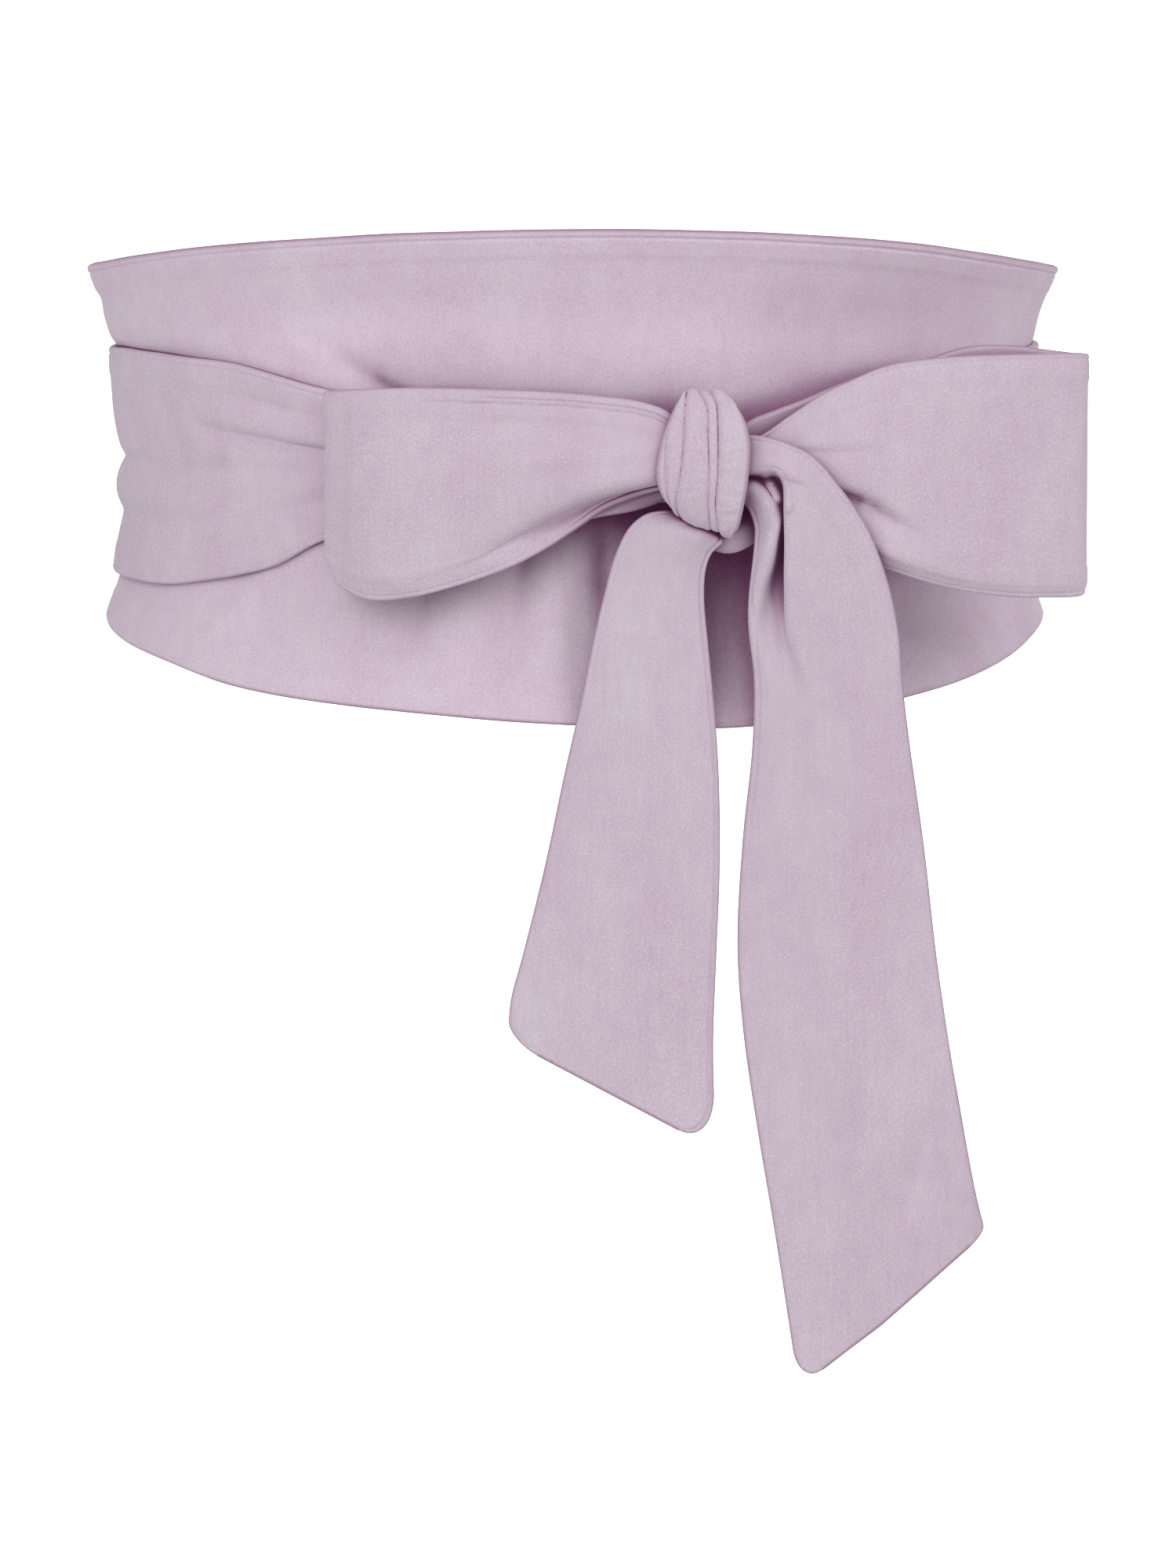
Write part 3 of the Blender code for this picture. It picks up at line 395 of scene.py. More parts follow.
# Where the edge, flap, its turn, the valley, crest, shoulder, slope and edge lie across
# the right tail; how far the turn is from the flap towards the valley, and how far it has
# sunk; how far the shoulder and the slope are from the crest towards the right edge, how
# far the shoulder stands out from the crest, and how far the slope has dropped.
TAIL_RIGHT_ACROSS = (0, 0.12, 0.16, 0.25, 0.36, 0.44, 0.68, 1)
FLAP_TURN_SHARE = 0.22
FLAP_TURN_DROP = 0.6
SHOULDER_SHARE = 0.11
SHOULDER_RISE = 0.6
SHOULDER_END = -60  # height below which the shoulder doesn't stand out
SHOULDER_FADE = 30  # height over which it comes to stand out
SLOPE_SHARE = 0.45
SLOPE_DROP = 0.35
TAIL_LEFT_CORNERS = (9.0, 10.4)  # radii at the corners of the slanted ends
TAIL_RIGHT_CORNERS = (7.0, 5.0)
TAIL_LEFT_FOLDS = (  # a is x
    (12, -34, 2, -92, 5, 5, 0.5),
    (28, -96, 20, -150, 7, 7, -0.5),
    (2, -108, -6, -146, 6, 6, 0.4),
)
TAIL_RIGHT_FOLDS = (
    (59.2, 3, 64.4, 1.2, 1.8, 0.9, 1.2),
    (54.6, 1.4, 59.8, -6.6, 1.5, 1.4, 5.8),
    (83, -174, 74, -212, 3.4, 6, -2.2),
    (105, -180, 98, -210, 4.6, 3.6, -2.2),
    (95, -176, 87, -206, 5, 5, 1),
    (74, -70, 78, -130, 7, 8, 0.5),
)

# ---- soft waves of cloth that nothing holds flat: the length round which theirs spread ----
PANEL_WAVE, WRAP_WAVE, LOOP_WAVE, TAIL_WAVE, CREASE_WAVE = 34.0, 20.0, 22.0, 30.0, 5.0

# ---- edges: how a wall's section is made ----
RIM_STEPS = 7  # points round each half-round edge, at these angles from its outer layer
RIM_TURNS = np.linspace(0, np.pi, RIM_STEPS + 2)[1:-1]
CAP_ANGLES = (30.0, 58.0, 80.0)  # of the sections that round off an end
SEAM_DEPTH = 0.35  # groove between the two layers, as a share of the edge's radius
SEAM_WIDTH = 0.3  # its half width, in radians round the edge
ALLOWANCE_SLOPE = 0.35  # how softly the turned cloth inside an edge comes to its end
EXPONENT_LIMIT = 30  # past which exp would leave the range that matters
GROOVE_FADE = 0.03  # the share of a strip over which a seam's groove starts or ends

# ---- painted shade: how the suede takes on the fold colours as its open sky narrows ----
Shade = namedtuple("Shade", "reach shade_from shade_gain deep_from deep_gain")
PANEL_SHADE = Shade(0.07, 0.46, 7.0, 0.41, 11.0)
TIE_SHADE = Shade(0.032, 0.78, 2.5, 0.54, 3.0)
WRAP_SHADE = Shade(0.02, 0.6, 2.0, 0.4, 2.0)
WRAP_RIM_SHADE = 0.25  # how much of the painted shade along the turned edges a tie shows where it lies flat
WRAP_BRIGHT = 1.05
# Painted light: the panel's colour is lighter at the front, in a band above the ties, in
# place of light that the ties and the bow keep off the panel there: its height, width, how
# far it reaches to either side, and how much lighter it is.
PAINTED_LIGHT_BAND = (0.034, 0.014, 0.1, 0.2)

# ---- the nap's noise patterns: scale, detail, and how each is stretched ----
PATCHES = (42.0, 3.0, (1.0, 1.0, 0.4))
CLOUDS = (170.0, 3.0)
STREAKS = (900.0, 2.0, (1.0, 1.0, 0.1))
GRAIN = (1500.0, 2.0)
FIBRES = (2100.0, 1.0)
TONE_SHARES = (0.9, 0.5, 0.45, 1.4)  # how far the first four move the tone
TIP_FROM, TIP_GAIN, TIP_SHARE = 0.6, 6.0, 0.7  # where single fibres catch the light
EDGE_SHADE_SHARE = 0.75  # how much of the deep fold colour, as painted shade, a turned edge takes on
OPENNESS_SAMPLES = 16
ROUGHNESS_SHARES = (0.16, 0.1)  # how far clouds and grain move the roughness
NAP_SHARES = (0.6, 0.3, 0.35)  # how much grain, streaks and fibres lift the nap
NAP_STRENGTH, NAP_HEIGHT = 0.5, 0.00025
SHEEN_ROUGHNESS, SHEEN_TINT = 0.45, (1.0, 0.93, 0.99, 1.0)
SUEDE_SPECULAR = 0.35  # how strong the plain gloss below the nap is

# ---- how finely each piece is divided: along, across ----
PANEL_GRID = (340, 110)
WRAP_GRID = (270, 96)
LOOP_GRID = (230, 96)
BAND_GRID = (200, 130)
CORE_GRID = (90, 48)
TAIL_LEFT_GRID = (200, 84)
TAIL_RIGHT_GRID = (280, 130)
# Where a grid is finer: the places, how far round each, and how much.
PANEL_DENSITY = ((0, 1), 0.04, 5.0)
WRAP_DENSITY = ((0, 0.62, 1), 0.05, 3.0)
LOOP_DENSITY = ((0, 0.8, 1), 0.06, 3.0)
BAND_DENSITY = (0.025, 3.0)  # round the lines between its strands, which are the places
TAIL_DENSITY = ((0.1, 1, 1, 1), 0.06)  # along a tail, most of all at its end
TAIL_RIGHT_DENSITY = ((0, 0.3, 0.38, 1), 0.07)

# ---- how often each surface is softened ----
SOFTEN_WRAP, SOFTEN_LOOP, SOFTEN_TAIL_LEFT, SOFTEN_TAIL_RIGHT = 2, 5, 4, 2

# ---- the photograph's camera ----
CAMERA_DISTANCE = 2.2
CAMERA_TARGET = (0.00400859, 0.0, -0.10096737)
CAMERA_PITCH = 7.0
CAMERA_LENS = 167.0
SENSOR_WIDTH = 36.0
CLIP_NEAR, CLIP_FAR = 0.05, 60.0

# ---- the studio: each light's angle round from the front and its angle above the level ----
LIGHTS = {"left_light": (-25.0, 25.0), "right_light": (50.0, 35.0), "back_light": (165.0, 30.0)}
LIGHT_SIZE = 1.5
LIGHT_DISTANCE = 2.4
BELT_MIDDLE = -0.08  # height that the lights face
FLOOR_DROP = 0.89  # from the tails' ends to the floor
FLOOR_REACH = 15.0  # so far that only its end shows, faintly, and only from a low side view
SCREEN_HALF_WIDTH = 0.62  # a little wider than the picture
SCREEN_AWAY = 3.25
SCREEN_TOP = 0.6
PAPER = (0.9, 0.9, 0.9, 1.0)
PAPER_ROUGHNESS = 0.95


# ---------------------------------------------------------------- settings


class BeltSizes(bpy.types.PropertyGroup):
    """Sizes of the cloth and its edges."""

    cloth: bpy.props.FloatProperty(
        name="Cloth",
        description="Thickness of two layers of suede, sewn together and turned",
        default=0.002, min=0.001, max=0.003, unit="LENGTH",
    )
    band_cloth: bpy.props.FloatProperty(
        name="Knot band",
        description="Thickness of the pleated band round the knot",
        default=0.0026, min=0.001, max=0.004, unit="LENGTH",
    )
    seam_allowance: bpy.props.FloatProperty(
        name="Seam allowance",
        description="Width of the turned cloth inside each edge, which makes it thicker there",
        default=0.008, min=0.0, max=0.02, unit="LENGTH",
    )
    allowance_rise: bpy.props.FloatProperty(
        name="Allowance rise",
        description="How much the turned cloth lifts the surface near an edge",
        default=0.0003, min=0.0, max=0.001, unit="LENGTH",
    )
    unevenness: bpy.props.FloatProperty(
        name="Unevenness",
        description="Height of the soft waves in cloth that nothing holds flat",
        default=0.00028, min=0.0, max=0.002, unit="LENGTH",
    )


class BeltColours(bpy.types.PropertyGroup):
    """Colours and gloss of the suede."""

    nap_light: bpy.props.FloatVectorProperty(
        name="Nap, light",
        description="Colour where the nap is brushed towards the light",
        default=(0.700, 0.600, 0.690), min=0.0, max=1.0, subtype="COLOR",
    )
    nap_deep: bpy.props.FloatVectorProperty(
        name="Nap, deep",
        description="Colour where the nap is brushed away from the light",
        default=(0.555, 0.425, 0.530), min=0.0, max=1.0, subtype="COLOR",
    )
    # painted shade: the colour that cloth beside a fold takes on, in place of the light it loses
    fold: bpy.props.FloatVectorProperty(
        name="Fold",
        description="Colour beside a fold, where the cloth takes light from more cloth",
        default=(0.590, 0.415, 0.550), min=0.0, max=1.0, subtype="COLOR",
    )
    # painted shade: the colour far inside a fold and between the tails, in place of shade
    painted_deep_shade: bpy.props.FloatVectorProperty(
        name="Fold, deep",
        description="Colour far inside a fold, where the cloth lights only itself",
        default=(0.26, 0.07, 0.21), min=0.0, max=1.0, subtype="COLOR",
    )
    panel_share: bpy.props.FloatProperty(
        name="Panel share",
        description="How bright the panel's suede is, as a share of the ties'",
        default=1.11, min=0.5, max=1.3, subtype="FACTOR",
    )
    fibre_tip: bpy.props.FloatVectorProperty(
        name="Fibre tip",
        description="Colour of the single fibres that catch the light",
        default=(0.86, 0.82, 0.86), min=0.0, max=1.0, subtype="COLOR",
    )
    roughness: bpy.props.FloatProperty(
        name="Roughness",
        description="Roughness of the brushed nap",
        default=0.74, min=0.0, max=1.0, subtype="FACTOR",
    )
    sheen: bpy.props.FloatProperty(
        name="Sheen",
        description="Strength of the soft sheen on fibres seen from the side",
        default=0.16, min=0.0, max=1.0, subtype="FACTOR",
    )


class BeltStudio(bpy.types.PropertyGroup):
    """The floor, the lit screen and the lights."""

    floor_height: bpy.props.FloatProperty(
        name="Floor height",
        description="Height of the floor far below the belt, which hangs as if worn",
        default=CAD_LOW[2] - FLOOR_DROP, unit="LENGTH",
    )
    left_light: bpy.props.FloatProperty(
        name="Left light",
        description="Power of the large soft light at the front left, above the belt",
        default=16.0, min=0.0, unit="POWER",
    )
    right_light: bpy.props.FloatProperty(
        name="Right light",
        description="Power of the large soft light at the front right, above the belt",
        default=13.5, min=0.0, unit="POWER",
    )
    back_light: bpy.props.FloatProperty(
        name="Back light",
        description="Power of the soft light behind the belt",
        default=5.0, min=0.0, unit="POWER",
    )
    surround: bpy.props.FloatProperty(
        name="Surround",
        description="Brightness of the room round the belt, as a share of white",
        default=0.55, min=0.0, max=4.0, subtype="FACTOR",
    )
    backdrop: bpy.props.FloatProperty(
        name="Backdrop",
        description="Brightness of the lit screen behind the belt, as a share of white",
        default=1.1, min=0.0, max=4.0, subtype="FACTOR",
    )


# ---------------------------------------------------------------- tables and curves


def columns(names, rows):
    """The columns of a table by name."""
    return dict(zip(names, np.array(rows, float).T))


def points_of(table, ending=""):
    """The points whose coordinates are the table's x, y and z columns with that ending."""
    return np.stack([table[axis + ending] for axis in "xyz"], axis=-1)


def between(first, second, share):
    """What lies at a share of the way from first to second."""
    return first + (second - first) * share


def smooth(at, values, to, closed=False):
    """A smooth curve through values, one at each of `at`, read at each of `to`: between
    two of them it is a cubic whose end slopes are the mean slopes of the chords beside
    them. A closed curve repeats its first value one step after its last."""
    at, values = np.asarray(at, float), np.asarray(values, float)
    if closed:
        step = at[-1] - at[-2]
        at = np.concatenate([[at[0] - step], at, [at[-1] + step, at[-1] + 2 * step]])
        values = np.concatenate([values[-1:], values, values[:2]])
    slopes = np.gradient(values, at, axis=0)
    to = np.asarray(to, float)
    k = np.clip(np.searchsorted(at, to, side="right") - 1, 0, len(at) - 2)
    span = (at[k + 1] - at[k]).reshape((-1,) + (1,) * (values.ndim - 1))
    t = ((to - at[k]) / (at[k + 1] - at[k])).reshape(span.shape)
    return (
        (2 * t**3 - 3 * t**2 + 1) * values[k]
        + (t**3 - 2 * t**2 + t) * span * slopes[k]
        + (3 * t**2 - 2 * t**3) * values[k + 1]
        + (t**3 - t**2) * span * slopes[k + 1]
    )


def shares(count, near=(0, 1), width=0.07, gain=2.5):
    """Numbers from 0 to 1 that lie closer together near some places: the running total of
    a density, read backwards. The density is one, and more by a bell curve at each of
    those places."""
    fine_steps = 1001
    t = np.linspace(0, 1, fine_steps)
    density = 1 + gain * sum(np.exp(-(((t - place) / width) ** 2)) for place in near)
    total = np.concatenate([[0.0], np.cumsum((density[1:] + density[:-1]) / 2)])
    return np.interp(np.linspace(0, total[-1], count), total, t)


def places_along(points):
    """A number for each section of a strip, which grows by the square root of the
    distance between sections."""
    steps = np.linalg.norm(np.diff(points.mean(axis=1), axis=0), axis=1)
    return np.concatenate([[0.0], np.cumsum(np.sqrt(steps))])


def loft(sections, across, along_shares, across_shares):
    """A surface through sections[row, point, xyz], whose points lie at `across`: smooth
    curves along the rows, and then smooth curves across those."""
    along = places_along(sections)
    rows = smooth(along, sections, along_shares * along[-1])
    return smooth(across, rows.transpose(1, 0, 2), across_shares).transpose(1, 0, 2)


def softened(points, passes):
    """A grid whose inner points are drawn towards the mean of their neighbours, along
    and then across, again and again. Its edges stay."""
    points = points.copy()
    for _ in range(passes):
        points[1:-1] = 0.5 * points[1:-1] + 0.25 * (points[:-2] + points[2:])
        points[:, 1:-1] = 0.5 * points[:, 1:-1] + 0.25 * (points[:, :-2] + points[:, 2:])
    return points


def unit(vectors):
    """Vectors made one long."""
    return vectors / np.maximum(np.linalg.norm(vectors, axis=-1, keepdims=True), 1e-9)


def fold_height(a, z, rows, per_a=1.0):
    """The height of folds at each place. Each is its depth on a line between two places,
    falls off sideways as a bell curve, with a width of its own on either side, is
    shallower near both ends and sinks to nothing past them."""
    total = np.zeros(np.broadcast(a, z).shape)
    for row in rows:
        fold = dict(zip(FOLD_COLUMNS, row))
        start = np.array([fold["a_from"] * per_a, fold["z_from"]])
        line = np.array([fold["a_to"] * per_a, fold["z_to"]]) - start
        length = np.hypot(*line)
        da, dz = a * per_a - start[0], z - start[1]
        t = (da * line[0] + dz * line[1]) / length
        side = (dz * line[0] - da * line[1]) / length
        width = np.where(side > 0, fold["left"], fold["right"])
        ends = max(fold["left"], fold["right"])
        past = np.maximum(0, np.maximum(-t, t - length)) / ends
        ramp = np.clip(np.minimum(t, length - t) / (FOLD_GROWTH * length), 0, 1)
        grown = between(FOLD_END, 1, ramp * ramp * (3 - 2 * ramp))
        total += fold["depth"] * np.exp(-((side / width) ** 2) - past**2) * grown
    return total


def soft_waves(a, b, length, start):
    """Uneven waves, mostly from -1 to 1: the sum of cosine waves in seven directions,
    over its usual height. Their lengths spread from two thirds to twice the one given.
    Directions and starts turn with the golden angle, so that they never line up."""
    golden, spread = np.pi * (3 - np.sqrt(5)), 5.1
    count, shortest, longest = 7, 0.67, 2.0
    total, usual_height = 0.0, 1.6 * np.sqrt(count)
    for k in range(count):
        turn = golden * (k + start)
        step = 2 * np.pi / (length * between(shortest, longest, k / (count - 1)))
        total = total + np.cos(step * (a * np.cos(turn) + b * np.sin(turn)) + spread * turn)
    return total / usual_height


# ---------------------------------------------------------------- middle surfaces


def on_body(angle, z, out):
    """Points `out` from the panel's middle surface, along its normal. That surface is an
    ellipse at each height, whose half width and half depth grow with the square of the
    height above or below the waist."""
    flare = np.where(z > 0, SIDE_FLARE_ABOVE, SIDE_FLARE_BELOW)
    half_width = WAIST_HALF_WIDTH + flare * z**2
    half_depth = WAIST_HALF_DEPTH + FRONT_FLARE * z**2
    sine, cosine = np.sin(np.radians(angle)), np.cos(np.radians(angle))
    slope = -2 * z * (half_width * FRONT_FLARE * cosine**2 + half_depth * flare * sine**2)
    normal = unit(np.stack([half_depth * sine, -half_width * cosine, slope], axis=-1))
    foot = np.stack([half_width * sine, -half_depth * cosine, z], axis=-1)
    return foot + normal * np.asarray(out)[..., None]


PER_DEGREE = WAIST_HALF_WIDTH * np.pi / 180  # about a degree's length round the waist


def panel_surface(unevenness):
    """The front panel: heights between its lower and its upper edge at each angle, with
    its folds and soft waves."""
    table = columns(PANEL_COLUMNS, PANEL)
    angle = np.linspace(PANEL[0][0], PANEL[-1][0], PANEL_GRID[0])
    top = smooth(table["angle"], table["z_top"], angle)[:, None]
    bottom = smooth(table["angle"], table["z_bottom"], angle)[:, None]
    z = between(bottom, top, shares(PANEL_GRID[1], *PANEL_DENSITY))
    angles = np.broadcast_to(angle[:, None], z.shape)
    out = fold_height(angles, z, PANEL_FOLDS, PER_DEGREE)
    out += unevenness * soft_waves(angles * PER_DEGREE, z, PANEL_WAVE, 1)
    return on_body(angles, z, out)


def wrap_surface(rows, folds, unevenness, start):
    """A tie round the body: heights between its edges at each angle, pleated lengthways.
    A pleat is half a sine wave between the two places across the tie where it starts and
    ends, leant to one side and rounded by powers. Folds and soft waves only lift it, so
    that it stays clear of the panel."""
    table = columns(WRAP_COLUMNS, rows)
    steps = np.sqrt(np.abs(np.diff(table["angle"])))
    along = np.concatenate([[0.0], np.cumsum(steps)])
    to = np.linspace(0, along[-1], WRAP_GRID[0])
    angle, top, bottom, out, depth = (
        smooth(along, table[name], to)[:, None] for name in WRAP_COLUMNS
    )
    share = shares(WRAP_GRID[1], *WRAP_DENSITY)
    rise = np.zeros(share.shape)
    for start_share, end_share, height, lean in PLEATS:
        inside = (share >= start_share) & (share <= end_share)
        t = (share[inside] - start_share) / (end_share - start_share)
        rise[inside] = height * np.sin(np.pi * t**lean).clip(0) ** PLEAT_ROUND
    z = between(bottom, top, share)
    angles = np.broadcast_to(angle, z.shape)
    lift = np.maximum(depth, 0) * rise
    lift = lift + fold_height(angles, z, folds, PER_DEGREE)
    lift = lift + unevenness * soft_waves(angles * PER_DEGREE, z, WRAP_WAVE, start)
    return softened(on_body(angles, z, out + np.maximum(lift, 0)), SOFTEN_WRAP)


def loop_surface(rows, folds, flip, unevenness, start):
    """A bow loop: a surface through the sections, with folds in its front layer that
    move it forwards or back."""
    c = columns(LOOP_COLUMNS, rows)
    z_face = between(c["z_top"], c["z_fold"], 0.5)
    x_pocket = between(c["x"], c["x_edge"], POCKET_SHARE)
    y_pocket = between(c["y_fold"], c["y_edge"], POCKET_SHARE) + c["pocket"]
    z_pocket = between(c["z_fold"], c["z_edge"], POCKET_SHARE)
    sections = np.array([
        (c["x"], c["y_top"], c["z_top"]),
        (c["x"], c["y_face"], z_face),
        (c["x"], c["y_fold"], c["z_fold"]),
        (x_pocket, y_pocket, z_pocket),
        (c["x_edge"], c["y_edge"], c["z_edge"]),
    ]).transpose(2, 0, 1)
    along_shares = np.linspace(0, 1, LOOP_GRID[0])
    across_shares = shares(LOOP_GRID[1], *LOOP_DENSITY)
    points = softened(loft(sections, LOOP_ACROSS, along_shares, across_shares), SOFTEN_LOOP)
    # The front layer comes first on the strip, up to the section that lies farthest out.
    along = places_along(sections)
    turn = along[np.argmax(np.abs(c["x"] - c["x"][0]))] / along[-1]
    front = np.clip((turn - along_shares[:, None]) / FRONT_FADE, 0, 1)
    x, z = points[..., 0], points[..., 2]
    lift = front * fold_height(x, z, folds)
    loose = np.clip(front * 2 - WAVES_FROM, REAR_WAVES, 1)
    lift += unevenness * soft_waves(x, z, LOOP_WAVE, start) * loose
    points[..., 1] -= lift
    return points[:, ::-1] if flip else points


def tail_left_surface(unevenness):
    """The left tail: a strip between its two edges, crowned forward between them, its end
    slanted with rounded corners."""
    c = columns(TAIL_LEFT_COLUMNS, TAIL_LEFT)
    left, right = points_of(c, "_left"), points_of(c, "_right")
    middle = between(left, right, 0.5)
    middle[:, 1] -= c["crown"]
    along, across = shares(TAIL_LEFT_GRID[0], *TAIL_DENSITY), shares(TAIL_LEFT_GRID[1])
    points = loft(np.stack([left, middle, right], axis=1), (0, 0.5, 1), along, across)
    points = softened(points, SOFTEN_TAIL_LEFT)
    x, z = points[..., 0], points[..., 2]
    points[..., 1] -= fold_height(x, z, TAIL_LEFT_FOLDS)
    points[..., 1] -= unevenness * soft_waves(x, z, TAIL_WAVE, 5)
    return round_the_end(points, TAIL_LEFT_CORNERS)


def tail_right_surface(unevenness):
    """The right tail: a strip through its left edge, flap, valley, crest and right edge,
    its end slanted with rounded corners."""
    c = columns(TAIL_RIGHT_COLUMNS, TAIL_RIGHT)
    left, flap, valley, crest, right = (
        points_of(c, ending) for ending in ("_left", "_flap", "_valley", "_crest", "_right")
    )
    slope = between(crest, right, SLOPE_SHARE)
    slope[:, 1] = between(c["y_crest"], c["y_right"], SLOPE_DROP)
    shoulder = between(crest, right, SHOULDER_SHARE)
    near_knot = np.clip((c["z_left"] - SHOULDER_END) / SHOULDER_FADE, 0, 1)
    shoulder[:, 1] = c["y_crest"] - SHOULDER_RISE * near_knot
    turned = between(flap, valley, FLAP_TURN_SHARE)
    turned[:, 1] = between(c["y_flap"], c["y_valley"], FLAP_TURN_DROP)
    sections = np.stack([left, flap, turned, valley, crest, shoulder, slope, right], axis=1)
    along = shares(TAIL_RIGHT_GRID[0], *TAIL_DENSITY)
    across = shares(TAIL_RIGHT_GRID[1], *TAIL_RIGHT_DENSITY)
    points = softened(loft(sections, TAIL_RIGHT_ACROSS, along, across), SOFTEN_TAIL_RIGHT)
    x, z = points[..., 0], points[..., 2]
    points[..., 1] -= fold_height(x, z, TAIL_RIGHT_FOLDS)
    points[..., 1] -= unevenness * soft_waves(x, z, TAIL_WAVE, 6)
    return round_the_end(points, TAIL_RIGHT_CORNERS)


def round_the_end(points, corners):
    """A strip with the corners at its end rounded: near the end, each side is drawn in by
    what a quarter circle of that corner's radius leaves of a square corner."""
    middle = points[:, points.shape[1] // 2]
    step = np.linalg.norm(np.diff(middle, axis=0), axis=-1)
    to_end = np.append(np.cumsum(step[::-1])[::-1], 0.0)[:, None]
    low, high = (
        radius - np.sqrt(radius**2 - np.clip(radius - to_end, 0, radius) ** 2)
        for radius in corners
    )
    return inset(points, low, high)


def band_surface(unevenness):
    """The knot's band, a closed ring between its two rims that bulges between them, and
    how far its outer layer stands out: in a rounded strand between each two lines, with
    fine creases across the strands."""
    c = columns(BAND_COLUMNS, BAND)
    around = np.arange(len(BAND))
    to = np.linspace(0, len(BAND), BAND_GRID[0], endpoint=False)
    left, right = (smooth(around, points_of(c, side), to, True) for side in ("_left", "_right"))
    lines = np.stack([c[name] for name in BAND_LINES], axis=-1)
    lines = (lines - lines[:, :1]) / (lines[:, -1:] - lines[:, :1])
    lines = smooth(around, lines, to, closed=True)
    front = len(to) // 4
    across = shares(BAND_GRID[1], tuple(lines[front]), *BAND_DENSITY)
    points = left[:, None] + (right - left)[:, None] * across[None, :, None]
    outward = points - points.mean(axis=(0, 1))
    outward[..., 0] = 0
    outward = unit(outward)
    points += outward * (BAND_BULGE * 4 * across * (1 - across))[None, :, None]
    rise = np.zeros(points.shape[:2])
    for k, height in enumerate(STRAND_RISE):
        start, end = lines[:, k, None], lines[:, k + 1, None]
        t = np.clip(2 * (across - start) / (end - start) - 1, -1, 1)
        rise += height * (1 - np.abs(t) ** STRAND_FLATNESS) ** (1 / STRAND_FLATNESS)
    wide, high = CREASE_STRETCH
    creases = soft_waves(points[..., 0] * wide, points[..., 2] * high, CREASE_WAVE, 9)
    relief = smooth(around, c["relief"], to, closed=True)[:, None]
    return points, rise * (relief + CREASE_SHARE * unevenness * creases)


# ---------------------------------------------------------------- cloth walls


def inset(points, low, high):
    """The same surface, and what else its points carry, with its low and high side edges
    drawn in: each section is read again at its own distances along itself, scaled to fit
    between those margins."""
    step = np.linalg.norm(np.diff(points[..., :3], axis=1), axis=-1)
    reach = np.concatenate([np.zeros((len(points), 1)), np.cumsum(step, axis=1)], axis=1)
    wanted = low + reach * (1 - (low + high) / reach[:, -1:])
    k = (wanted[:, :, None] >= reach[:, None, 1:-1]).sum(axis=-1)
    before, after = np.take_along_axis(reach, k, 1), np.take_along_axis(reach, k + 1, 1)
    t = ((wanted - before) / (after - before))[..., None]
    first = np.take_along_axis(points, k[..., None], 1)
    second = np.take_along_axis(points, k[..., None] + 1, 1)
    return between(first, second, t)


def layer_heights(middle, half, relief, sizes, grooves):
    """How far the inner and the outer layer lie from the middle. Both are half the cloth
    away, and a little more where the turned cloth inside a side edge lifts them, which
    ends in a soft step. The outer layer adds the relief, less the grooves, each a bell
    curve of the distance from its line."""
    step = np.linalg.norm(np.diff(middle, axis=1), axis=-1)
    run = np.concatenate([np.zeros((len(middle), 1)), np.cumsum(step, axis=1)], axis=1)
    from_low = half + run
    from_high = from_low[:, -1:] + half - from_low
    past = (np.minimum(from_low, from_high) - sizes.seam_allowance / MM) / ALLOWANCE_SLOPE
    past = np.clip(past, -EXPONENT_LIMIT, EXPONENT_LIMIT)
    inner = half + sizes.allowance_rise / MM / (1 + np.exp(past))
    outer = inner + relief
    place = np.linspace(0, 1, len(middle))[:, None]
    for line in grooves:
        distance = from_low if line.edge == "low" else from_high
        shape = np.exp(-(((distance - line.distance) / line.width) ** 2))
        start, end = line.span
        window = np.clip(np.minimum(place - start, end - place) / GROOVE_FADE, 0, 1)
        outer -= line.depth * shape * window
    return inner, outer


def seam_rim(centre, normal, along, across, radius):
    """Half a circle from the outer layer to the inner one, round a side edge that lies
    towards `across`, with a bell-shaped groove for the seam half way."""
    turn = RIM_TURNS[:, None]
    aside = unit(np.cross(normal, along))
    aside *= np.sign((aside * across).sum(-1, keepdims=True))
    bite = 1 - SEAM_DEPTH * np.exp(-(((turn - np.pi / 2) / SEAM_WIDTH) ** 2))
    radius = radius[:, None, None] * bite
    lift = normal[:, None] * (radius * np.cos(turn))
    return centre[:, None] + lift + aside[:, None] * (radius * np.sin(turn))


def end_cap(section, heart, onward, line, thickness):
    """Sections that round off an end: each shrinks towards the wall's middle by a cosine
    and moves on by a sine of the thickness, square to the end's line, unless it is that
    far ahead already."""
    onward, line = unit(onward), unit(line)
    onward = unit(onward - line * (onward * line).sum())
    spread = section - heart
    ahead = (spread @ onward)[:, None]
    beside = spread - ahead * onward
    turn = np.radians(CAP_ANGLES)[:, None, None]
    reach = np.maximum(ahead, thickness * np.sin(turn))
    return heart + beside * np.cos(turn) + onward * reach


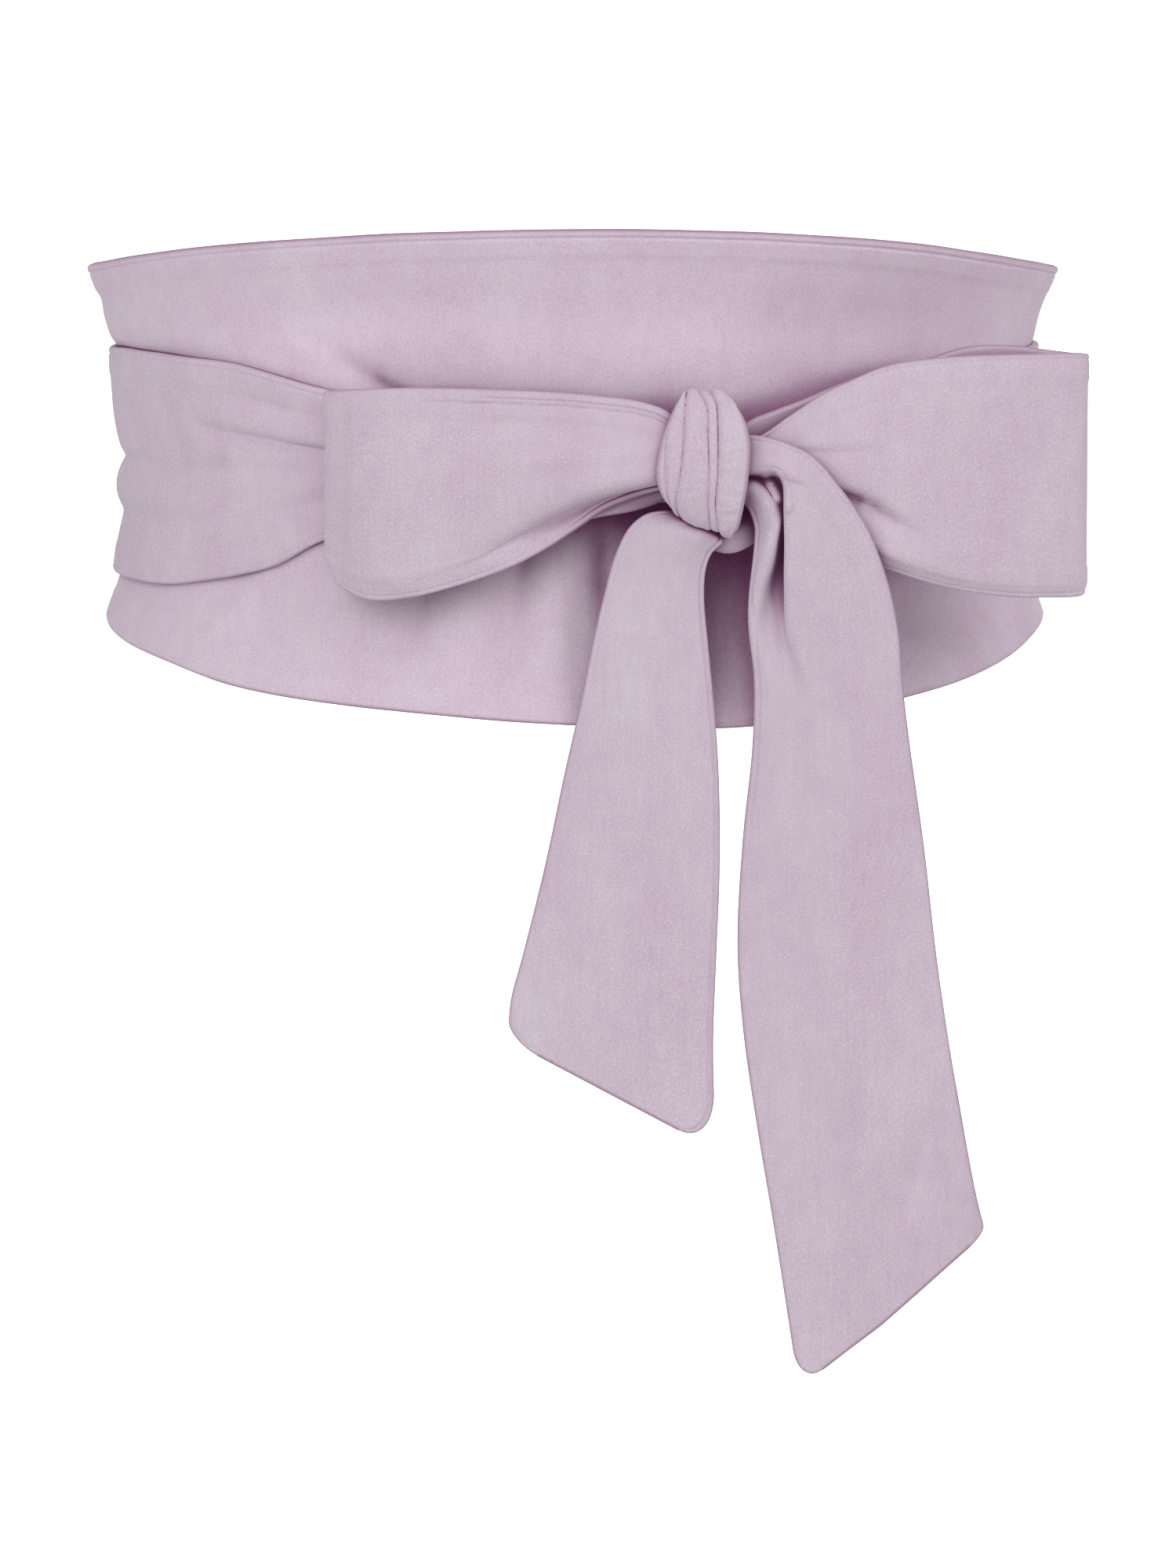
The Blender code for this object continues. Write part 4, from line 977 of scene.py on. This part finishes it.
def sewn_wall(surface, cloth, sizes, grooves=(), relief=None, closed=False):
    """Points, faces and cloth places of a wall on a middle surface[along, across, xyz],
    and how far each point is round a turned edge. Its section runs over the outer layer,
    round one edge, back under the inner layer and round the other edge."""
    half = cloth / 2
    relief = np.zeros(surface.shape[:2]) if relief is None else relief
    carried = inset(np.concatenate([surface, relief[..., None]], axis=-1), half, half)
    middle, relief = carried[..., :3], carried[..., 3]
    width = middle.shape[1]
    if closed:
        along = np.gradient(np.concatenate([middle[-1:], middle, middle[:1]]), axis=0)[1:-1]
    else:
        along = np.gradient(middle, axis=0)
    across = np.gradient(middle, axis=1)
    normal = unit(np.cross(along, across))
    inner, outer = layer_heights(middle, half, relief, sizes, grooves)
    high_rim, low_rim = (
        seam_rim(middle[:, at], normal[:, at], along[:, at], way * across[:, at], inner[:, at])
        for at, way in ((-1, 1), (0, -1))
    )
    top, bottom = middle + normal * outer[..., None], middle - normal * inner[..., None]
    section = np.concatenate([top, high_rim, bottom[:, ::-1], low_rim[:, ::-1]], axis=1)
    ends = [np.repeat(middle[:, at, None], RIM_STEPS, axis=1) for at in (-1, 0)]
    heart = np.concatenate([middle, ends[0], middle[:, ::-1], ends[1]], axis=1)
    # how far each point is round a rim, which weights the painted shade along the turned edges
    edge = np.zeros(section.shape[:2])
    edge[:, width : width + RIM_STEPS] = edge[:, -RIM_STEPS:] = np.sin(RIM_TURNS) ** 2
    if not closed:
        first, last = (
            end_cap(
                section[row], heart[row], way * along[row, width // 2],
                middle[row, -1] - middle[row, 0], inner[row].max(),
            )
            for row, way in ((0, -1), (-1, 1))
        )
        section = np.concatenate([first[::-1], section, last])
        rim_shade = np.sin(np.radians(CAP_ANGLES))[:, None]
        last_edge = np.maximum(edge[:1], rim_shade)
        edge = np.concatenate([last_edge[::-1], edge, last_edge])
    faces = wall_faces(section.shape[0], width, closed)
    return section, faces, cloth_places(section, closed), edge


def side_faces(count, around, closed=False):
    """Quads that join each section of points to the next one, all the way round."""
    rows = np.arange(count if closed else count - 1)[:, None]
    ring = np.arange(around)[None, :]
    after, onward = (ring + 1) % around, (rows + 1) % count
    quads = (
        rows * around + ring, onward * around + ring,
        onward * around + after, rows * around + after,
    )
    return np.stack(quads, axis=-1).reshape(-1, 4).tolist()


def wall_faces(count, width, closed):
    """Faces of a section of points carried along a strip, and of its two flat ends. An
    end is quads between the layers and one many-sided face at each edge."""
    around = 2 * (width + RIM_STEPS)
    faces = side_faces(count, around, closed)
    if closed:
        return faces
    first = np.arange(width - 1)
    mirrored = 2 * width + RIM_STEPS - 1 - first
    for base, turned in ((0, True), ((count - 1) * around, False)):
        strip = base + np.stack([first, mirrored, mirrored - 1, first + 1], axis=-1)
        high = base + np.arange(width - 1, width + RIM_STEPS + 1)
        low = base + np.append(np.arange(2 * width + RIM_STEPS - 1, around), 0)
        ends = strip.tolist() + [high.tolist()[::-1], low.tolist()[::-1]]
        faces += [face[::-1] for face in ends] if turned else ends
    return faces


def cloth_places(section, closed):
    """The distance along the strip of each section and the distance round it of each
    point, and both whole lengths, so that a pattern can follow the cloth."""
    rows = np.concatenate([section, section[:1]]) if closed else section
    ring = np.concatenate([section, section[:, :1]], axis=1)
    steps = np.linalg.norm(np.diff(rows.mean(axis=1), axis=0), axis=-1)
    along = np.concatenate([[0.0], np.cumsum(steps)])
    turns = np.linalg.norm(np.diff(ring, axis=1), axis=-1).mean(axis=0)
    round_it = np.concatenate([[0.0], np.cumsum(turns)])
    return along, round_it


CLOSED_COUNTS = (0, 2)  # corners less edges plus faces, of a ring and of a plain wall


def add_piece(name, section, faces, places, edge, material):
    """A smooth shaded object of a section carried along a strip, with its cloth places as
    a UV map in metres and the weight of painted shade along its turned edges as an
    attribute. It stops the script if the mesh is open."""
    count, around = section.shape[:2]
    mesh = bpy.data.meshes.new(name)
    mesh.from_pydata(section.reshape(-1, 3) * MM, [], faces)
    mesh.update()
    corners = np.empty(len(mesh.loops), np.int32)
    mesh.loops.foreach_get("vertex_index", corners)
    along, round_it = places
    rows, columns_of = corners // around, corners % around
    starts = np.empty(len(mesh.polygons), np.int32)
    totals = np.empty(len(mesh.polygons), np.int32)
    mesh.polygons.foreach_get("loop_start", starts)
    mesh.polygons.foreach_get("loop_total", totals)
    face_of = np.repeat(np.arange(len(starts)), totals)
    # A face that closes the ring takes the far end of it for its first point.
    low_column = np.minimum.reduceat(columns_of, starts)[face_of]
    high_column = np.maximum.reduceat(columns_of, starts)[face_of]
    wraps = (high_column - low_column > around // 2) & (columns_of == 0)
    low_row = np.minimum.reduceat(rows, starts)[face_of]
    high_row = np.maximum.reduceat(rows, starts)[face_of]
    rolls = (high_row - low_row > count // 2) & (rows == 0)
    u = np.where(rolls, along[-1], along[rows]) * MM
    v = np.where(wraps, round_it[-1], round_it[columns_of]) * MM
    layer = mesh.uv_layers.new(name="cloth")
    layer.data.foreach_set("uv", np.stack([u, v], axis=-1).astype(np.float32).ravel())
    turned = mesh.attributes.new("turned_edge", "FLOAT", "POINT")
    turned.data.foreach_set("value", edge.astype(np.float32).ravel())
    mesh.polygons.foreach_set("use_smooth", np.ones(len(mesh.polygons), bool))
    piece = bpy.data.objects.new(name, mesh)
    bpy.context.scene.collection.objects.link(piece)
    if signed_volume(mesh) < 0:
        mesh.flip_normals()
    mesh.materials.append(material)
    mesh.update()
    if len(mesh.vertices) - len(mesh.edges) + len(mesh.polygons) not in CLOSED_COUNTS:
        raise RuntimeError(f"{name} isn't one closed wall")
    return piece


def signed_volume(mesh):
    """A mesh's volume, below nothing where its faces point inwards."""
    mesh.calc_loop_triangles()
    points = np.empty(len(mesh.vertices) * 3)
    mesh.vertices.foreach_get("co", points)
    corners = np.empty(len(mesh.loop_triangles) * 3, np.int32)
    mesh.loop_triangles.foreach_get("vertices", corners)
    triangles = points.reshape(-1, 3)[corners].reshape(-1, 3, 3)
    return np.linalg.det(triangles).sum() / 6


def settle(piece, node):
    """The piece stands for its CAD node, whose part it hides, and moves with the belt."""
    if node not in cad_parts:
        raise RuntimeError(f"the packed belt has no piece {node}")
    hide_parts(node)
    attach(piece, "root")


# ---------------------------------------------------------------- suede


def both_ways(operation):
    """A Math node's operator on a signal, and its reflected form."""

    def forward(signal, other):
        return signal.graph.node("ShaderNodeMath", {"operation": operation}, {0: signal, 1: other})

    def reflected(signal, other):
        return signal.graph.node("ShaderNodeMath", {"operation": operation}, {0: other, 1: signal})

    return forward, reflected


class Signal:
    """A socket of a material, on which sums and products add Math nodes."""

    __add__, __radd__ = both_ways("ADD")
    __sub__, __rsub__ = both_ways("SUBTRACT")
    __mul__, __rmul__ = both_ways("MULTIPLY")
    __truediv__, __rtruediv__ = both_ways("DIVIDE")

    def __init__(self, graph, socket):
        self.graph = graph
        self.socket = socket

    def clipped(self):
        """The signal kept between 0 and 1."""
        return self.graph.node("ShaderNodeClamp", {}, {"Value": self})


class Graph:
    """The node tree of one material."""

    def __init__(self, name):
        self.material = bpy.data.materials.new(name)
        self.material.use_nodes = True
        self.tree = self.material.node_tree
        self.shader = self.tree.nodes["Principled BSDF"]

    def set(self, node, name, value):
        """Links a signal to a socket, or sets the socket's value."""
        socket = node.inputs[name]
        if isinstance(value, Signal):
            self.tree.links.new(value.socket, socket)
        else:
            socket.default_value = value

    def node(self, kind, settings, values, output=0):
        """A node of a type, with its settings, then its sockets' values or links."""
        node = self.tree.nodes.new(kind)
        for name, value in settings.items():
            setattr(node, name, value)
        for name, value in values.items():
            self.set(node, name, value)
        return Signal(self, node.outputs[output])

    def colour(self, first, second, share):
        """A mix of two colours."""
        settings = {"data_type": "RGBA", "clamp_factor": True}
        return self.node("ShaderNodeMix", settings, {0: share, 6: first, 7: second}, 2)

    def noise(self, place, scale, detail=2.0, stretch=(1.0, 1.0, 1.0)):
        """Cloudy noise around a half, its place stretched first."""
        if stretch != (1.0, 1.0, 1.0):
            settings = {"operation": "MULTIPLY"}
            place = self.node("ShaderNodeVectorMath", settings, {0: place, 1: stretch})
        values = {"Vector": place, "Scale": scale, "Detail": detail}
        return self.node("ShaderNodeTexNoise", {}, values)


def suede_material(name, colours, nap_turn, fold, bright=1.0, painted_light_band=False):
    """Microsuede: brushed patches and fine lengthways grain in two tones of one colour,
    a band of painted light where it is asked for, a bell curve of the height times one of
    the fourth power of x, single fibres that catch the light, painted shade along turned
    edges, painted shade inside folds in a warmer and then a deeper colour, and a low relief
    of the nap. `nap_turn` moves the patches, so that no two pieces match."""
    graph = Graph(name)
    body = graph.node("ShaderNodeTexCoord", {}, {}, 3)
    cloth = graph.node("ShaderNodeUVMap", {"uv_map": "cloth"}, {})
    moved = graph.node("ShaderNodeVectorMath", {"operation": "ADD"}, {0: body, 1: nap_turn})

    patches = graph.noise(moved, *PATCHES)
    clouds = graph.noise(moved, *CLOUDS)
    streaks = graph.noise(body, *STREAKS)
    grain = graph.noise(cloth, *GRAIN)
    fibres = graph.noise(cloth, *FIBRES)

    tone = 0.5
    for share, pattern in zip(TONE_SHARES, (patches, clouds, streaks, grain)):
        tone = tone + share * (pattern - 0.5)
    light, deep = (
        (*(bright * part for part in tint), 1) for tint in (colours.nap_light, colours.nap_deep)
    )
    base = graph.colour(deep, light, tone.clipped())
    # painted light: a lighter band on the panel above the ties
    if painted_light_band:
        middle, width, reach, gain = PAINTED_LIGHT_BAND
        above = (graph.node("ShaderNodeSeparateXYZ", {}, {0: body}, 2) - middle) / width
        aside = graph.node("ShaderNodeSeparateXYZ", {}, {0: body}, 0) / reach
        aside = aside * aside
        off = above * above + aside * aside
        near = graph.node("ShaderNodeMath", {"operation": "EXPONENT"}, {0: off * -1.0})
        values = {0: base, 3: near * gain + 1.0}
        base = graph.node("ShaderNodeVectorMath", {"operation": "SCALE"}, values)
    tips = ((fibres - TIP_FROM) * TIP_GAIN).clipped()
    base = graph.colour(base, (*colours.fibre_tip, 1), TIP_SHARE * tips)
    # painted shade: a dark line along each turned edge, in the deep fold colour
    turned = graph.node("ShaderNodeAttribute", {"attribute_name": "turned_edge"}, {}, 2)
    base = graph.colour(base, (*colours.painted_deep_shade, 1), EDGE_SHADE_SHARE * turned)
    # painted shade: towards the fold colour, then the deep one, where little open sky is in reach
    settings = {"samples": OPENNESS_SAMPLES}
    openness = graph.node("ShaderNodeAmbientOcclusion", settings, {"Distance": fold.reach}, 1)
    shade = ((fold.shade_from - openness) * fold.shade_gain).clipped()
    base = graph.colour(base, (*colours.fold, 1), shade)
    deep_shade = ((fold.deep_from - openness) * fold.deep_gain).clipped()
    base = graph.colour(base, (*colours.painted_deep_shade, 1), deep_shade)

    by_clouds, by_grain = ROUGHNESS_SHARES
    from_grain, from_streaks, from_fibres = NAP_SHARES
    nap = grain * from_grain + streaks * from_streaks + fibres * from_fibres
    values = {"Strength": NAP_STRENGTH, "Distance": NAP_HEIGHT, "Height": nap}
    looks = {
        "Base Color": base,
        "Roughness": colours.roughness + by_clouds * (clouds - 0.5) + by_grain * (grain - 0.5),
        "Normal": graph.node("ShaderNodeBump", {}, values),
        "Sheen Weight": colours.sheen,
        "Sheen Roughness": SHEEN_ROUGHNESS,
        "Sheen Tint": SHEEN_TINT,
        "Specular IOR Level": SUEDE_SPECULAR,
    }
    for socket, value in looks.items():
        graph.set(graph.shader, socket, value)
    graph.material.diffuse_color = light
    return graph.material


def strip_piece(
    node, surface, context, nap_turn, grooves=(), cloth=None, relief=None, closed=False,
    shade=TIE_SHADE, rim_shade=1.0, bright=1.0, painted_light_band=False,
):
    """A piece of sewn suede on a middle surface, for a node, with its own painted fold shade,
    how much painted shade its turned edges take, and how bright its nap is. Its cloth is as
    thick as that of the ties if nothing else is given."""
    name = node + "_suede"
    sizes, colours = context.scene.belt_sizes, context.scene.belt_colours
    material = suede_material(name, colours, nap_turn, shade, bright, painted_light_band)
    cloth = (cloth or sizes.cloth) / MM
    section, faces, places, edge = sewn_wall(surface, cloth, sizes, grooves, relief, closed)
    return add_piece(name, section, faces, places, edge * rim_shade, material)


# ---------------------------------------------------------------- pieces


Groove = namedtuple("Groove", "edge distance depth width span", defaults=[(0.0, 1.0)])
HIGH_SEAM, LOW_SEAM = Groove("high", 1.6, 0.25, 0.4), Groove("low", 1.6, 0.25, 0.4)


def waves(context):
    """The height of the soft waves, in the tables' millimetres."""
    return context.scene.belt_sizes.unevenness / MM


class OBI_OT_front_panel(bpy.types.Operator):
    """Lay the shaped front panel round the waist"""

    bl_idname = "obi.front_panel"
    bl_label = "Front panel"
    bl_options = {"REGISTER", "UNDO"}

    def execute(self, context):
        piece = strip_piece(
            "front_panel", panel_surface(waves(context)), context, (0.0, 0.0, 0.0),
            [Groove("high", 2.0, 0.45, 0.4), Groove("low", 1.4, 0.2, 0.4)],
            shade=PANEL_SHADE, bright=context.scene.belt_colours.panel_share, painted_light_band=True,
        )
        settle(piece, "front_panel")
        return {"FINISHED"}


class OBI_OT_ties(bpy.types.Operator):
    """Wind the two ties round the waist, crossed at the back"""

    bl_idname = "obi.ties"
    bl_label = "Ties round the waist"
    bl_options = {"REGISTER", "UNDO"}

    def execute(self, context):
        left = wrap_surface(WRAP_LEFT, WRAP_LEFT_FOLDS, waves(context), 2)
        right = wrap_surface(WRAP_RIGHT, WRAP_RIGHT_FOLDS, waves(context), 3)[:, ::-1]
        seams = [Groove("high", 1.8, 0.25, 0.4), LOW_SEAM]
        for node, surface, turn, flat, area in (
            ("tie_wrap_left", left, (0.31, 0.0, 0.2), (0.072, 0.50), 0.0265),
            ("tie_wrap_right", right, (0.0, 0.47, 0.1), (0.072, 0.46), 0.0240),
        ):
            piece = strip_piece(
                node, surface, context, turn, seams,
                shade=WRAP_SHADE, rim_shade=WRAP_RIM_SHADE, bright=WRAP_BRIGHT,
            )
            settle(piece, node)
        return {"FINISHED"}


class OBI_OT_bow_loops(bpy.types.Operator):
    """Fold the two loops of the bow"""

    bl_idname = "obi.bow_loops"
    bl_label = "Bow loops"
    bl_options = {"REGISTER", "UNDO"}

    def execute(self, context):
        left = loop_surface(LOOP_LEFT, LOOP_LEFT_FOLDS, False, waves(context), 4)
        right = loop_surface(LOOP_RIGHT, LOOP_RIGHT_FOLDS, True, waves(context), 8)
        gathers = [
            Groove("low", 3.9, 0.6, 0.3, (0.01, 0.38)),
            Groove("low", 2.5, 0.5, 0.3, (0.01, 0.32)),
        ]
        for node, surface, turn, seams, flat, area in (
            ("bow_loop_left", left, (0.13, 0.2, 0.0), [*gathers, HIGH_SEAM],
             (0.062, 0.232), 0.0105),
            ("bow_loop_right", right, (0.2, 0.1, 0.3), [HIGH_SEAM, LOW_SEAM],
             (0.074, 0.240), 0.0124),
        ):
            piece = strip_piece(node, surface, context, turn, seams)
            settle(piece, node)
        return {"FINISHED"}


class OBI_OT_knot(bpy.types.Operator):
    """Tie the pleated band of the knot and the strand behind it"""

    bl_idname = "obi.knot"
    bl_label = "Knot"
    bl_options = {"REGISTER", "UNDO"}

    def execute(self, context):
        ring, relief = band_surface(waves(context))
        band = strip_piece(
            "knot_wrap", ring, context, (0.05, 0.0, 0.4),
            cloth=context.scene.belt_sizes.band_cloth, relief=relief, closed=True,
        )
        settle(band, "knot_wrap")
        core = strand_piece("knot_core_suede", context)
        settle(core, "knot_core")
        return {"FINISHED"}


def strand_piece(name, context):
    """The strand behind the band: an ellipse carried along a curve that lies nearly flat
    against the panel, fluted by its gathered layers, with domed ends."""
    c = columns(CORE_COLUMNS, CORE)
    at = np.arange(len(CORE))
    to = np.linspace(0, len(CORE) - 1, CORE_GRID[0])
    path = smooth(at, points_of(c), to)
    along = np.gradient(path, axis=0)
    sideways = unit(np.stack([-along[:, 2], 0 * to, along[:, 0]], axis=-1))
    turn = np.linspace(0, 2 * np.pi, CORE_GRID[1], endpoint=False)
    flute = 1 - FLUTE_DEPTH * np.abs(np.sin(FLUTES / 2 * turn + FLUTE_TURN))
    end = np.clip(np.minimum(to, to[-1] - to) / DOME_LENGTH, 0, 1)
    dome = np.sqrt(np.clip(1 - (1 - end) ** 2, DOME_TIP, 1))
    half_width, half_depth = (
        (smooth(at, c[half], to) * dome)[:, None] for half in ("half_width", "half_depth")
    )
    section = (
        path[:, None]
        + sideways[:, None] * (half_width * np.cos(turn) * flute)[..., None]
        + np.array([0.0, 1.0, 0.0]) * (half_depth * np.sin(turn) * flute)[..., None]
    )
    count, around = section.shape[:2]
    faces = side_faces(count, around)
    faces.append(list(range(around)))
    faces.append(list(range((count - 1) * around, count * around))[::-1])
    material = suede_material(name, context.scene.belt_colours, (0.1, 0.3, 0.0), TIE_SHADE)
    edge = np.zeros(section.shape[:2])
    return add_piece(name, section, faces, cloth_places(section, False), edge, material)


class OBI_OT_tails(bpy.types.Operator):
    """Hang the two tails of the bow"""

    bl_idname = "obi.tails"
    bl_label = "Tails"
    bl_options = {"REGISTER", "UNDO"}

    def execute(self, context):
        left, right = tail_left_surface(waves(context)), tail_right_surface(waves(context))
        left_seams = [Groove("high", 1.4, 0.55, 0.4), Groove("low", 1.5, 0.2, 0.4)]
        right_seams = [Groove("low", 1.8, 0.4, 0.35, (0.06, 0.5)), Groove("high", 1.5, 0.2, 0.4)]
        for node, surface, turn, seams, flat, area in (
            ("tail_left", left, (0.4, 0.0, 0.1), left_seams, (0.060, 0.190), 0.0078),
            ("tail_right", right, (0.0, 0.2, 0.5), right_seams, (0.060, 0.275), 0.0134),
        ):
            piece = strip_piece(node, surface, context, turn, seams)
            settle(piece, node)
        return {"FINISHED"}


class OBI_OT_studio(bpy.types.Operator):
    """Set the floor, the lit screen, the soft lights and the camera"""

    bl_idname = "obi.studio"
    bl_label = "Studio"
    bl_options = {"REGISTER", "UNDO"}

    def execute(self, context):
        studio = context.scene.belt_studio
        low = studio.floor_height
        ways = ((-1, -1), (1, -1), (1, 1), (-1, 1))
        floor = [(x * FLOOR_REACH, y * FLOOR_REACH, low) for x, y in ways]
        screen = [
            (x * SCREEN_HALF_WIDTH, SCREEN_AWAY, z)
            for x, z in ((-1, low), (1, low), (1, SCREEN_TOP), (-1, SCREEN_TOP))
        ]
        stage_sheet("studio_floor", floor, 0.0)
        stage_sheet("lit_screen", screen, studio.backdrop)
        for name, (azimuth, elevation) in LIGHTS.items():
            soft_light(name, azimuth, elevation, getattr(studio, name))
        world = bpy.data.worlds.new("white_room")
        world.use_nodes = True
        background = world.node_tree.nodes["Background"]
        background.inputs["Color"].default_value = (1.0, 1.0, 1.0, 1.0)
        background.inputs["Strength"].default_value = studio.surround
        context.scene.world = world
        context.scene.view_settings.view_transform = "Standard"
        photo_camera(context.scene)
        return {"FINISHED"}


def stage_sheet(name, corners, glow):
    """A flat white sheet of the studio between four corners, which may give light."""
    mesh = bpy.data.meshes.new(name)
    mesh.from_pydata(corners, [], [(0, 1, 2, 3)])
    graph = Graph(name + "_paper")
    graph.set(graph.shader, "Base Color", PAPER)
    graph.set(graph.shader, "Roughness", PAPER_ROUGHNESS)
    graph.set(graph.shader, "Emission Color", (1.0, 1.0, 1.0, 1.0))
    graph.set(graph.shader, "Emission Strength", glow)
    mesh.materials.append(graph.material)
    sheet = bpy.data.objects.new(name, mesh)
    bpy.context.scene.collection.objects.link(sheet)
    sheet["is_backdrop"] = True


def soft_light(name, azimuth, elevation, power):
    """A large square light round the belt, at an angle from the front and one above the
    level, which faces the belt's middle."""
    around, above = math.radians(azimuth), math.radians(elevation)
    outward = Vector(
        (math.sin(around) * math.cos(above), -math.cos(around) * math.cos(above), math.sin(above))
    )
    light = bpy.data.lights.new(name, "AREA")
    light.size = LIGHT_SIZE
    light.energy = power
    lamp = bpy.data.objects.new(name, light)
    lamp.location = Vector((0.0, 0.0, BELT_MIDDLE)) + outward * LIGHT_DISTANCE
    lamp.rotation_euler = (-outward).to_track_quat("-Z", "Y").to_euler()
    bpy.context.scene.collection.objects.link(lamp)


def photo_camera(scene):
    """The photograph's camera, straight in front and a little above."""
    pitch = math.radians(CAMERA_PITCH)
    camera = bpy.data.cameras.new("photo_camera")
    camera.sensor_width = SENSOR_WIDTH
    camera.lens = CAMERA_LENS
    camera.clip_start, camera.clip_end = CLIP_NEAR, CLIP_FAR
    viewer = bpy.data.objects.new("photo_camera", camera)
    back = Vector((0.0, -math.cos(pitch), math.sin(pitch))) * CAMERA_DISTANCE
    viewer.location = Vector(CAMERA_TARGET) + back
    viewer.rotation_euler = (math.radians(90.0) - pitch, 0.0, 0.0)
    scene.collection.objects.link(viewer)
    scene.camera = viewer


class OBI_PT_belt(bpy.types.Panel):
    """Buttons that build the belt, piece by piece"""

    bl_idname = "OBI_PT_belt"
    bl_label = "Obi belt"
    bl_space_type = "VIEW_3D"
    bl_region_type = "UI"
    bl_category = "Obi belt"

    def draw(self, context):
        for settings in GROUPS:
            group = getattr(context.scene, settings)
            for name in group.bl_rna.properties.keys():
                if name not in ("rna_type", "name"):
                    self.layout.prop(group, name)
        for operator in OPERATORS:
            self.layout.operator(operator.bl_idname)


GROUPS = {"belt_sizes": BeltSizes, "belt_colours": BeltColours, "belt_studio": BeltStudio}
OPERATORS = (
    OBI_OT_front_panel, OBI_OT_ties, OBI_OT_knot, OBI_OT_bow_loops, OBI_OT_tails,
    OBI_OT_studio,
)


def register():
    for name, group in GROUPS.items():
        bpy.utils.register_class(group)
        setattr(bpy.types.Scene, name, bpy.props.PointerProperty(type=group))
    for operator in OPERATORS:
        bpy.utils.register_class(operator)
    bpy.utils.register_class(OBI_PT_belt)


def unregister():
    bpy.utils.unregister_class(OBI_PT_belt)
    for operator in reversed(OPERATORS):
        bpy.utils.unregister_class(operator)
    for name, group in GROUPS.items():
        delattr(bpy.types.Scene, name)
        bpy.utils.unregister_class(group)


def main():
    register()
    bpy.ops.obi.front_panel()
    bpy.ops.obi.ties()
    bpy.ops.obi.knot()
    bpy.ops.obi.bow_loops()
    bpy.ops.obi.tails()
    bpy.ops.obi.studio()


if __name__ == "__main__":
    main()
